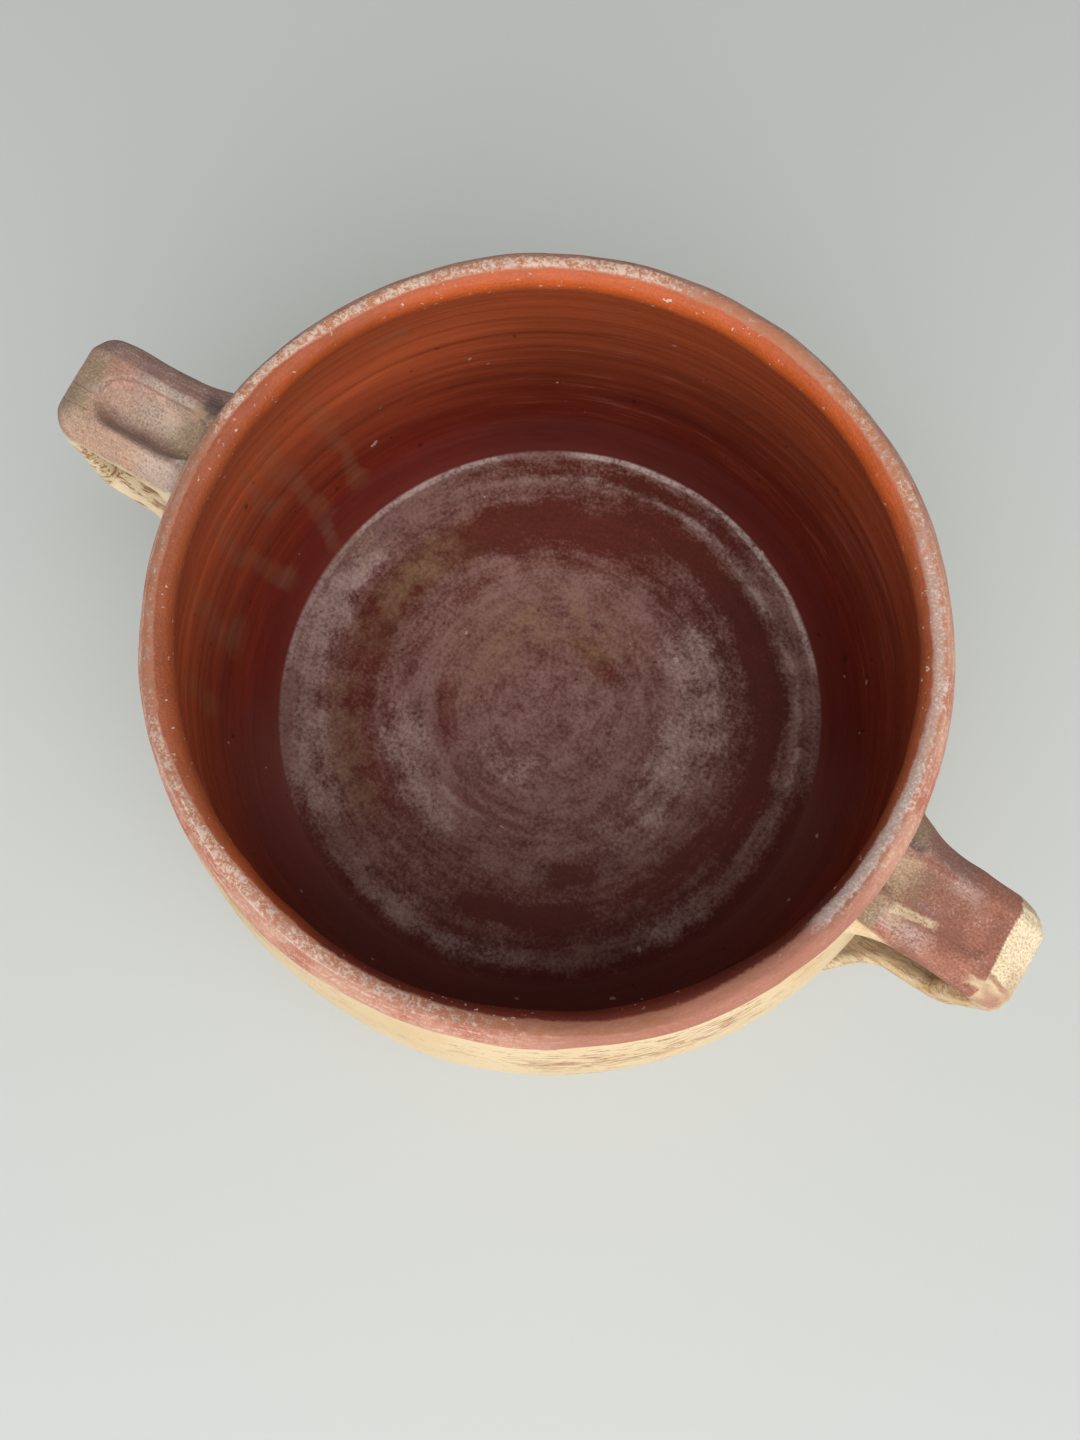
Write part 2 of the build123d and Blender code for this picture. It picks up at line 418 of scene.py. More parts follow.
class Finish:
    """Material that is put together from values."""

    def __init__(self, name, turned=0.0):
        self.material = bpy.data.materials.new(name)
        self.material.use_nodes = True
        self.tree = self.material.node_tree
        self.shader = self.tree.nodes["Principled BSDF"]
        self.place = self.node("ShaderNodeTexCoord", output="Object")
        if turned:
            sockets = {"Vector": self.place, "Rotation": (0, 0, -turned)}
            self.place = self.node("ShaderNodeMapping", {}, sockets)
        self.x = self.axis("X")
        self.y = self.axis("Y")
        self.z = self.axis("Z")
        self.radius = (self.x * self.x + self.y * self.y) ** 0.5

    def node(self, kind, settings=None, sockets=None, output=0):
        """Any node: its settings first, then the values or links of its sockets."""
        made = self.tree.nodes.new(kind)
        for key, value in (settings or {}).items():
            setattr(made, key, value)
        for key, value in (sockets or {}).items():
            if isinstance(value, Value):
                self.tree.links.new(value.socket, made.inputs[key])
            else:
                made.inputs[key].default_value = value
        return Value(self, made.outputs[output])

    def math(self, name, first, second=0.0):
        """Math node."""
        return self.node("ShaderNodeMath", {"operation": name}, {0: first, 1: second})

    def axis(self, name):
        """One coordinate of the place on the piece."""
        return self.node("ShaderNodeSeparateXYZ", {}, {0: self.place}, name)

    def layer(self, name):
        """Value that the piece's mesh carries."""
        return self.node("ShaderNodeAttribute", {"attribute_name": name}, {}, "Fac")

    def texture(self, place, detail, rough):
        """Noise from 0 to 1 whose grains are about one unit of the place apart."""
        sockets = {"Vector": place, "Scale": 1.0, "Detail": detail, "Roughness": rough}
        return self.node("ShaderNodeTexNoise", {}, sockets)

    def grain(self, size, detail=3.0, rough=0.5, stretch=(1, 1, 1), shift=(0, 0, 0)):
        """Noise from 0 to 1 whose grains are about as large as size."""
        scale = tuple(s / size for s in stretch)
        sockets = {"Vector": self.place, "Location": shift, "Scale": scale}
        return self.texture(self.node("ShaderNodeMapping", {}, sockets), detail, rough)

    def strong(self, value):
        """Noise with its usual range spread from 0 to 1."""
        return self.step(0.34, 0.66, value)

    def drawn(self, along, across, detail=5.0, rough=0.6):
        """Noise drawn out round the pot: grains to the radian along it, and the value that runs across it."""
        ways = {0: self.x / self.radius * along, 1: self.y / self.radius * along, 2: across}
        return self.texture(self.node("ShaderNodeCombineXYZ", {}, ways), detail, rough)

    def loosened(self, size, reach):
        """Copy of this finish whose places waver by about the reach over the size."""
        loose = copy.copy(self)
        loose.x = self.x + reach * (self.grain(size, 6, 0.68, shift=(2, 2, 0)) - 0.5)
        loose.y = self.y + reach * (self.grain(size, 6, 0.68, shift=(8, 5, 0)) - 0.5)
        loose.radius = (loose.x * loose.x + loose.y * loose.y) ** 0.5
        return loose

    def step(self, low, high, value):
        """Smooth step from 0 at low to 1 at high, also where low is the larger."""
        if low > high:
            return 1 - self.step(high, low, value)
        sockets = {"Value": value, "From Min": low, "From Max": high}
        return self.node("ShaderNodeMapRange", {"interpolation_type": "SMOOTHSTEP"}, sockets)

    def band(self, value, middle, half, soft):
        """1 within half of the middle, falling to 0 over soft."""
        return self.step(half + soft, half, self.math("ABSOLUTE", value - middle))

    def sector(self, degrees, half, soft):
        """1 within a range of azimuths, falling to 0 over soft degrees."""
        way = math.radians(degrees)
        along = (self.x * math.cos(way) + self.y * math.sin(way)) / self.radius
        return self.step(math.cos(math.radians(half + soft)), math.cos(math.radians(half)), along)

    def mix(self, factor, first, second):
        """Colour between two colours."""
        return self.node("ShaderNodeMix", {"data_type": "RGBA"}, {0: factor, 6: first, 7: second}, 2)

    def lighten(self, factor, colour):
        """Colour times a grey value."""
        grey = self.node("ShaderNodeCombineXYZ", {}, {0: factor, 1: factor, 2: factor})
        start = colour if isinstance(colour, Value) else tuple(colour)[:3]
        return self.node("ShaderNodeVectorMath", {"operation": "MULTIPLY"}, {0: start, 1: grey})

    def bump(self, height, distance):
        """Normal from a height that spans the distance."""
        return self.node("ShaderNodeBump", {}, {"Height": height, "Distance": distance})

    def done(self, colour, rough, normal=None):
        """Wires the shader and gives the material back."""
        self.tree.links.new(colour.socket, self.shader.inputs["Base Color"])
        if isinstance(rough, Value):
            self.tree.links.new(rough.socket, self.shader.inputs["Roughness"])
        else:
            self.shader.inputs["Roughness"].default_value = rough
        if normal:
            self.tree.links.new(normal.socket, self.shader.inputs["Normal"])
        return self.material


def outer_slip(colours):
    """Cream slip with clusters of thin level dashes where it has flaked off the red clay."""
    f = Finish("outer_slip")
    clouds = f.grain(34 * MM, 5, 0.6)
    parts = f.grain(46 * MM, 3, shift=(1, 2, 3), stretch=(1, 1, 2.5))
    sand = f.grain(0.9 * MM, 3, 0.7)
    colour = f.mix(f.step(0.44, 0.76, clouds) * 0.6, colours.cream, colours.ochre)
    colour = f.lighten(0.88 + 0.12 * f.drawn(2.0, f.z / (2.5 * MM), 4) + 0.12 * sand, colour)
    clusters = 0.5 * (parts - 0.5) + 0.04 * f.step(60 * MM, 100 * MM, f.z)
    flaked = f.step(0.655, 0.675, f.grain(7 * MM, 4, 0.65, (1, 1, 10)) + clusters)
    flecks = f.step(0.68, 0.74, f.grain(1.6 * MM, 2))
    colour = f.mix(flaked * 0.75, colour, colours.red_clay)
    colour = f.mix(flecks * 0.35, colour, colours.red_clay)
    worn = f.step(15 * MM, 4 * MM, f.z + 14 * MM * (f.grain(14 * MM, 5, 0.65) - 0.5))
    colour = f.mix(worn * (0.95 - 0.4 * f.strong(clouds)), colour, colours.red_clay)
    height = sand * 0.4 - flaked
    return f.done(colour, 0.85, f.bump(height, 0.25 * MM))


def inner_glaze(size, colours):
    """Red-brown glaze, runny on the wall and hazed by lime on the floor."""
    f = Finish("inner_glaze")
    climb = f.x * math.cos(RING_CLIMB) + f.y * math.sin(RING_CLIMB)
    level = f.z + size.ring_tilt * climb / f.radius
    rings = f.drawn(1.5, level / (6 * MM), 4)
    fine = f.drawn(4.0, level / (1.7 * MM), 5, 0.65)
    flat = f.step(104.3 * MM, 103.1 * MM, f.radius) * f.step(40 * MM, 20 * MM, f.z)
    wall = wall_glaze(f, colours, rings, fine)
    floor, haze, crumbs = floor_haze(f, colours)
    film = f.sector(297, 70, 25) * f.step(48 * MM, 14 * MM, f.z + 10 * MM * (rings - 0.5))
    colour = f.mix(flat, f.mix(film * 0.16, wall, colours.lime), floor)
    pits = f.step(0.75, 0.78, f.grain(4.5 * MM, 1, shift=(9, 4, 2)))
    colour = f.mix(pits * 0.6, colour, colours.pit)
    chips = f.step(0.78, 0.80, f.grain(5 * MM, 1, shift=(2, 7, 4)))
    colour = f.mix(chips * 0.5, colour, colours.lime_white)
    knuckle = f.step(26 * MM, 15 * MM, f.z) * (1 - flat)
    rough = 0.34 + flat * (0.24 + 0.16 * haze) + 0.44 * knuckle
    height = (1 - flat) * (0.6 * rings + 0.4 * fine) + flat * (0.12 + 0.2 * haze) * crumbs
    f.shader.inputs["Specular IOR Level"].default_value = 0.32
    return f.done(colour, rough, f.bump(height, 0.5 * MM))


def wall_glaze(f, colours, rings, fine):
    """Glaze on the wall: russet at the top, maroon where it pooled, lighter at mid height on two sides by
    painted light, with pale streaks of painted sheen and greenish runs.
    """
    deep = f.step(108 * MM, 14 * MM, f.z + 30 * MM * (rings - 0.5) + 12 * MM * (fine - 0.5))
    wall = f.mix(deep, colours.russet, colours.maroon)
    # Painted light: the wall is drawn lighter at mid height on the left side (azimuth 192) and a little on
    # the right side (azimuth 20).
    lit_sides = 0.6 * f.sector(192, 34, 36) | 0.25 * f.sector(20, 30, 40)
    lit_sides = lit_sides * f.band(f.z, 45 * MM, 25 * MM, 42 * MM)
    wall = f.lighten((0.52 + 0.96 * (0.4 * rings + 0.6 * fine)) * (1 + lit_sides), wall)
    wall = f.mix(f.step(0.56, 0.72, fine) * 0.3 * (1 - deep), wall, colours.rose_dark)
    wall = f.mix(f.layer("groove") * (0.10 + 0.34 * f.step(0.38, 0.58, fine)), wall, colours.pit)
    # Painted sheen: pale lime streaks at mid height around azimuth 80 stand for the sky's reflection in the
    # glaze.
    streaks = f.step(0.54, 0.70, 0.6 * fine + 0.4 * rings) * f.band(f.z, 50 * MM, 14 * MM, 18 * MM)
    wall = f.mix(streaks * 0.4 * f.sector(80, 34, 24), wall, colours.lime)
    loose = f.loosened(36 * MM, 34 * MM)
    runs = []
    for degrees, half, low, high in DRIPS:
        line = loose.sector(degrees, 0.1, half) * f.step(low - 4 * MM, low + 14 * MM, f.z)
        runs.append(0.8 * line * f.step(high + 8 * MM, high - 36 * MM, f.z))
        bead = loose.sector(degrees, 0.1, half * 1.3)
        runs.append(bead * f.band(f.z, low + 8 * MM, MM, 9 * MM))
    return f.mix(strongest(runs) * (0.04 + 0.34 * fine), wall, colours.drip)


def floor_haze(f, colours):
    """Floor: bare glaze under grainy lime haze, with a white tide line at its edge."""
    wander = f.grain(30 * MM, 3, shift=(5, 0, 0)) - 0.5
    flakes = f.grain(11 * MM, 9, 0.74, shift=(1, 6, 0))
    crumbs = f.grain(1.5 * MM, 4, 0.7, shift=(4, 2, 0))
    arcs = f.drawn(2.2, f.radius / (3.4 * MM), 5, 0.65)
    break_up = flakes - 0.5 + 0.9 * (crumbs - 0.5) + 0.6 * (arcs - 0.5)
    loose = f.loosened(14 * MM, 16 * MM)
    off_x, off_y = f.x - 8 * MM, f.y + 3 * MM
    disc = f.step(73 * MM, 58 * MM, (off_x * off_x + off_y * off_y) ** 0.5 + 9 * MM * wander)
    ring = f.step(82 * MM, 94 * MM, loose.radius)
    # More haze on the left part of the floor: partly real haze, partly painted light where the light falls.
    left = 0.14 * f.sector(195, 50, 45) * f.step(30 * MM, 60 * MM, f.radius)
    fade = f.sector(303, 62, 22) * f.step(94 * MM, 104 * MM, loose.radius)
    cover = (0.62 * disc | 0.62 * ring | 0.42) + left - 0.42 * blots(loose, BARE_GLAZE) - 0.5 * fade
    haze = f.step(0.22, 0.84, cover + 0.95 * break_up)
    warm = loose.sector(128, 30, 50) * f.step(25 * MM, 60 * MM, f.radius)
    under = f.mix(warm * 0.12, colours.floor_glaze, colours.russet)
    # Painted shade: the bare glaze is drawn darker on the far side of the floor, between radii 40 and 70 mm.
    under = f.lighten(1 - 0.3 * f.sector(105, 60, 50) * f.step(40 * MM, 70 * MM, f.radius), under)
    floor = f.mix(0.02 + haze * 0.70, under, colours.lime)
    floor = f.mix(blots(loose, OLIVE_LIME) * f.step(0.36, 0.62, flakes) * 0.8, floor, colours.olive)
    thick = f.step(0.26, 0.86, 0.78 * blots(loose, THICK_LIME) + 1.2 * (flakes - 0.5) + 0.7 * (crumbs - 0.5))
    floor = f.mix(thick * (1 - fade) * 0.36, floor, colours.lime_white)
    swirls = blots(f.loosened(20 * MM, 6 * MM), SWIRLS) * f.step(0.36, 0.56, flakes)
    floor = f.mix(swirls * 0.6, floor, colours.floor_glaze)
    grit = 0.30 * f.strong(crumbs) + 0.18 * f.strong(flakes) + 0.16 * f.strong(arcs)
    floor = f.lighten(0.68 + grit, floor)
    tide = f.band(f.radius + 3 * MM * wander, 102.6 * MM, 0.5 * MM, 1.2 * MM)
    tide = tide * (f.sector(79, 33, 9) | 0.8 * f.sector(152, 16, 5) | 0.45 * f.sector(188, 12, 8))
    bowed = f.radius + 5 * MM * wander + 2.5 * MM * f.sector(100, 30, 40)
    second = f.band(bowed, 95 * MM, 0.5 * MM, 1.6 * MM)
    tide = tide | second * 0.45 * f.sector(62, 40, 35) * f.step(0.42, 0.60, flakes)
    floor = f.mix(tide * f.step(0.34, 0.60, 0.5 * crumbs + 0.5 * flakes) * 0.85, floor, colours.lime_white)
    return floor, haze, crumbs


def strongest(masks):
    """Largest of several masks at each place."""
    return functools.reduce(operator.or_, masks)


def blots(loose, table):
    """Soft patches on the floor, the strongest where they meet."""
    core = 0.3
    patches = []
    for degrees, half, radius, width, strength in table:
        around = strength * loose.sector(degrees, half * core, half)
        patches.append(around * loose.band(loose.radius, radius, width * core, width))
    return strongest(patches)


# Patches on the floor: azimuth and half width in degrees, radius and half width along it, strength
BARE_GLAZE = (
    (125, 34, 74 * MM, 10 * MM, 1.0),
    (60, 40, 83 * MM, 7 * MM, 0.8),
    (14, 22, 84 * MM, 6 * MM, 0.6),
    (297, 18, 80 * MM, 5 * MM, 0.9),
    (310, 9, 64 * MM, 5 * MM, 0.8),
    (78, 24, 26 * MM, 6 * MM, 0.6),
    (215, 18, 39 * MM, 6 * MM, 0.5),
    (186, 30, 73 * MM, 9 * MM, 0.65),
    (228, 22, 74 * MM, 8 * MM, 0.5),
    (340, 18, 78 * MM, 5 * MM, 0.5),
    (110, 40, 97 * MM, 4 * MM, 0.8),
)
THICK_LIME = (
    (5, 30, 52 * MM, 16 * MM, 0.7),
    (36, 32, 58 * MM, 15 * MM, 0.75),
    (332, 20, 52 * MM, 14 * MM, 0.45),
    (238, 30, 57 * MM, 11 * MM, 0.75),
    (268, 30, 27 * MM, 10 * MM, 0.5),
    (187, 22, 93 * MM, 10 * MM, 0.85),
    (225, 18, 93 * MM, 10 * MM, 0.75),
    (274, 30, 97 * MM, 8 * MM, 0.65),
    (333, 14, 94 * MM, 8 * MM, 0.6),
    (12, 14, 94 * MM, 4 * MM, 0.4),
    (90, 60, 99 * MM, 4 * MM, 0.3),
)
SWIRLS = (
    (266, 26, 41 * MM, 2.2 * MM, 1.0),
    (274, 24, 47 * MM, 2.2 * MM, 0.9),
    (250, 26, 53 * MM, 2.0 * MM, 0.7),
    (215, 16, 41 * MM, 4.0 * MM, 0.8),
    (330, 16, 46 * MM, 2.0 * MM, 0.6),
    (345, 14, 52 * MM, 2.0 * MM, 0.5),
)
OLIVE_LIME = (
    (172, 24, 74 * MM, 10 * MM, 0.9),
    (225, 22, 80 * MM, 9 * MM, 0.7),
    (130, 80, 32 * MM, 16 * MM, 0.7),
    (172, 5, 98 * MM, 9 * MM, 0.8),
)

# Azimuth and half width in degrees, lowest and highest reach of each run of glaze
DRIPS = (
    (149, 2.6, 94 * MM, 112 * MM),
    (163, 2.4, 18 * MM, 104 * MM),
    (173.5, 2.6, 8 * MM, 104 * MM),
    (179, 1.6, 40 * MM, 112 * MM),
    (188, 2.4, 13 * MM, 102 * MM),
    (201, 2.4, 26 * MM, 96 * MM),
    (214.5, 2.2, 35 * MM, 96 * MM),
)


def lip_finish(colours):
    """Amber glaze inside, grainy crust along the crest and worn rosy slip outside."""
    f = Finish("lip_glaze")
    roll = f.layer("roll")
    patches = f.grain(18 * MM, 5, 0.6)
    sand = f.grain(0.9 * MM, 4, 0.78)
    flakes = f.grain(3.0 * MM, 6, 0.75, shift=(7, 1, 2))
    scratches = f.drawn(12, roll * 22, 5, 0.7)
    shift = 0.10 * f.sector(276, 16, 22) + 0.08 * f.sector(352, 12, 18) - 0.08 * f.sector(200, 26, 18)
    ragged = 0.10 * (patches - 0.5) + 0.14 * (flakes - 0.5) + 0.10 * (sand - 0.5)
    edge = roll - shift + ragged
    # Glaze, which runs up from the throat to the ragged edge on the crest
    glaze = f.mix(f.sector(18, 16, 22) * 0.5 | f.sector(214, 24, 22) * 0.45, colours.amber, colours.red_clay)
    # Painted shade, partly darker glaze: the inner lip on the near side turns maroon where it faces away from
    # the light.
    shaded_near_side = f.sector(310, 34, 26)
    glaze = f.mix(shaded_near_side * f.step(0.54, 0.68, roll) * 0.92, glaze, colours.maroon)
    glaze = f.mix(f.step(0.95, 1.14, roll) * 0.6, glaze, colours.russet)
    shade = 0.16 * f.strong(scratches) + 0.14 * f.strong(patches) + 0.20 * f.strong(sand)
    shade = 0.69 + shade + 0.12 * f.step(0.62, 0.9, roll)
    glaze = f.lighten(shade * (1 - 0.30 * f.sector(205, 45, 30) - 0.25 * f.sector(8, 20, 30)), glaze)
    # Worn slip outside
    outside = f.mix(f.step(0.46, 0.64, patches + 0.4 * (flakes - 0.5)), colours.rose, colours.rose_dark)
    outside = f.mix(f.step(0.46, 0.64, 0.5 * scratches + 0.5 * sand) * 0.65, outside, colours.crust)
    near_right = f.sector(328, 18, 14)
    outside = f.mix(near_right * 0.7, outside, colours.rose_dark)
    # Painted shade: the worn slip outside is drawn darker on the far side of the lip (azimuth 115), which
    # faces away from the light.
    outside = f.lighten(1 - 0.3 * f.sector(115, 55, 30) - 0.14 * near_right, outside)
    colour = f.mix(f.step(0.57, 0.65, edge), outside, glaze)
    # Crust where the two meet, white in parts, with a strip of ash beside the right handle
    white_parts = f.sector(140, 34, 14) | 0.3 * f.sector(205, 30, 24) | 0.9 * f.sector(258, 24, 16)
    white_parts = white_parts | 0.6 * f.sector(12, 22, 16) | 0.7 * f.sector(52, 16, 14)
    crust = f.mix(f.step(0.44, 0.60, flakes) * (0.2 + 0.6 * white_parts), colours.crust_dark, colours.ash)
    white = f.step(0.52, 0.60, 0.5 * sand + 0.3 * flakes + 0.2 * patches - 0.05 + 0.10 * white_parts)
    crust = f.mix(white * 0.85, crust, colours.crust)
    crust = f.lighten(1 - 0.25 * (f.sector(318, 26, 24) | f.sector(214, 22, 20)) - 0.14 * near_right, crust)
    colour = f.mix(f.band(edge, 0.51, 0.08, 0.06) * (0.9 - 0.45 * f.sector(334, 9, 8)), colour, crust)
    ash = (f.sector(359, 12, 5) | 0.7 * f.sector(20, 16, 14)) * f.band(edge, 0.575, 0.08, 0.05)
    colour = f.mix(ash * 0.75, colour, f.mix(f.step(0.45, 0.6, sand), colours.ash, colours.bloom))
    # Thin broken lines along the lip, and blisters in the glaze
    broken = f.step(0.40, 0.56, flakes)
    seam = f.band(roll + 0.03 * (patches - 0.5), 0.478, 0.003, 0.014) * f.sector(256, 14, 12) * broken
    colour = f.mix(seam * 0.8, colour, colours.crust)
    line = f.band(roll + 0.05 * (patches - 0.5), -0.29, 0.015, 0.05)
    line = line | f.band(roll + 0.03 * (patches - 0.5), 0.468, 0.003, 0.014) * f.sector(302, 20, 14) * broken
    colour = f.mix(line * 0.65, colour, colours.red_clay)
    blisters = f.step(0.66, 0.71, f.grain(1.8 * MM, 2, shift=(4, 4, 1))) * f.step(0.56, 0.70, roll)
    blisters = blisters * f.step(0.42, 0.56, patches)
    colour = f.mix(blisters * 0.8, colour, colours.crust)
    rough = 0.80 - 0.36 * f.step(0.57, 0.66, edge)
    height = 0.5 * sand + 0.4 * flakes + 0.2 * scratches + 0.5 * blisters
    return f.done(colour, rough, f.bump(height, 0.4 * MM))


class HandleFinish(Finish):
    """Finish of one handle: x runs outwards along it, across runs to the far side, both a little wavering."""

    def __init__(self, side, handles):
        super().__init__(f"{side}_handle_slip", getattr(handles, f"{side}_azimuth"))
        end = getattr(handles, f"{side}_reach")
        self.across = self.y * (1 if side == "right" else -1)
        self.clouds = self.grain(9 * MM, 6, 0.62)
        self.other = self.grain(7 * MM, 6, 0.62, shift=(3, 8, 5))
        self.sand = self.grain(0.7 * MM, 3, 0.75)
        at_end = self.step(end - 13 * MM, end - 8 * MM, self.x)
        self.streaks = self.grain(9 * MM, 5, 0.62, (0.7, 6, 6)) * (1 - at_end)
        self.streaks = self.streaks + at_end * (self.grain(9 * MM, 5, 0.62, (7, 7, 0.55)) - 0.05)
        self.loose_x = self.x + 4 * MM * (self.clouds - 0.5) + 0.8 * MM * (self.sand - 0.5)
        self.loose_across = self.across + 4 * MM * (self.other - 0.5) + 0.8 * MM * (self.sand - 0.5)
        self.lines = self.grain(6 * MM, 5, 0.65, (0.7, 9, 9), shift=(2, 1, 6))
        # The loop's inner faces, away from its near edge: where the painted shade goes.
        self.inner = self.layer("inner") * self.step(-0.94, -0.74, self.layer("side"))
        height = self.z + 3 * MM * (self.clouds - 0.5)
        self.top = self.step(handles.top - 10 * MM, handles.top - 6.5 * MM, height)

    def touch(self, x, across, half_x, half_across, soft=0.3, slant=0.0):
        """Ragged patch around a place on the strap's top, in millimetres."""
        out = self.math("ABSOLUTE", (self.loose_x - x * MM) / (half_x * MM))
        line = across * MM + slant * (self.x - x * MM)
        side = self.math("ABSOLUTE", (self.loose_across - line) / (half_across * MM))
        return self.step(1 + soft, 1 - soft, out | side)

    def paint(self, colour, touches):
        """Colour under a row of touches, each with its own new colour and strength."""
        for tint, strength, *place in touches:
            colour = self.mix(self.touch(*place) * strength, colour, tint)
        return colour

    def dust(self, colour, low, high, strength, tint):
        """Sandy grains of another colour."""
        return self.mix(self.step(low, high, 0.7 * self.sand + 0.3 * self.other) * strength, colour, tint)

    def bare_clay(self, colours, loop_shading, worn):
        """Cream clay with lengthwise worn strokes of red, darkened towards umber inside the loop by painted
        shade.
        """
        bare = self.mix(self.step(0.40, 0.70, self.clouds), colours.cream, colours.ochre)
        cracks = self.step(0.49, 0.63, self.streaks + 0.4 * (self.clouds - 0.5)) * (1 - self.top)
        bare = self.mix(cracks * worn, bare, colours.red_clay)
        bare = self.dust(bare, 0.52, 0.60, 0.5, colours.rose_dark)
        # Painted shade: the loop's inner faces are darkened towards umber.
        return self.mix(self.inner * loop_shading, bare, colours.loop_shade), cracks

    def clay(self, slip, kept, bare, cracks):
        """Whole finish: slip where it is kept, bare clay elsewhere, and fine lines along the strap."""
        grit = 0.18 * self.strong(self.lines) + 0.18 * self.strong(self.sand)
        colour = self.lighten(0.82 + grit, self.mix(kept, bare, slip))
        height = 0.6 * self.sand + 0.5 * self.lines + 0.5 * kept - 0.6 * cracks * (1 - kept)
        return self.done(colour, 0.86, self.bump(height, 0.45 * MM))


def right_handle_finish(handles, colours):
    """Red-brown slip with a whitish bloom, rubbed to the cream clay at the end and the root."""
    f = HandleFinish("right", handles)
    # 0.85 is the strength of the painted shade inside the right loop.
    bare, cracks = f.bare_clay(colours, 0.85, 0.35)
    slip = f.mix(f.step(0.42, 0.66, f.clouds) * 0.8, colours.slip_red, colours.slip_deep)
    slip = f.paint(slip, (
        # Dark slip and painted shade on the right strap's far root, which faces away from the light.
        (colours.slip_dark, 0.8, 122, 12.5, 10, 4, 0.4),
        (colours.ash, 0.2, 125, 3, 6, 6, 0.6),
        (colours.bloom, 0.4, 123, -11.5, 7, 2.6, 0.6),
        (colours.slip_deep, 0.6, 129, 2, 9, 7, 0.8),
        (colours.bloom, 0.25, 132, 7, 4, 2.5, 0.7),
        (colours.buff, 0.8, 113.5, 1, 5, 8, 0.5),
        (colours.moss_and_shade, 0.5, 117, -1, 6, 6, 0.7),
        (colours.slip_deep, 0.6, 121, 7.6, 9, 0.7, 0.6, 0.12),
        # Painted shadow in the crevice beside the lip, at the strap's far root.
        (colours.crevice_shadow, 0.8, 114, 9.5, 3, 1.6, 0.5),
        (colours.moss_and_shade, 0.7, 113.5, 14.5, 3, 4, 0.5),
        # Painted shadow on the near face of the right strap's root.
        (colours.moss_and_shade, 0.8, 113, -13, 3.5, 5, 0.3),
        (colours.buff, 0.7, 119, -9, 3, 2.4, 0.5, -0.4),
        (colours.cream, 0.85, 124, -6.8, 6.0, 1.3, 0.25, 0.16),
        (colours.slip_dark, 0.5, 126, -3.4, 4, 1.2, 0.6),
    ))
    slip = f.dust(slip, 0.52, 0.66, 0.36, colours.bloom)
    slip = f.dust(slip, 0.49, 0.38, 0.8, colours.slip_deep)
    waver = 3.5 * MM * (f.other - 0.5) + 1.2 * MM * (f.sand - 0.5)
    band = f.step(146.9 * MM, 147.7 * MM, f.x + 0.06 * f.across + waver)
    corner = f.touch(149.5, -11.6, 5, 1.2, 0.5, 0.2)
    red = f.touch(152, -9.1, 4.5, 0.7, 0.7) | f.touch(153.5, -13.5, 4, 2.2, 0.7)
    red = red | 0.5 * f.touch(156, -9, 2.5, 6, 0.8)
    far_edge = f.step(11.5 * MM, 13 * MM, f.across) * f.step(0.42, 0.5, f.streaks)
    kept = f.top * (1 - (band | corner)) | f.top * (0.8 * red | 0.5 * far_edge)
    kept = kept * f.step(-16.6 * MM, -15.8 * MM, f.across + MM * (f.other - 0.5))
    rubbed = f.top * f.step(-10 * MM, -7 * MM, f.across) * f.step(0.40, 0.52, f.sand)
    bare = f.mix(rubbed * 0.75, bare, colours.chalk_and_light)
    return f.clay(slip, kept, bare, cracks)


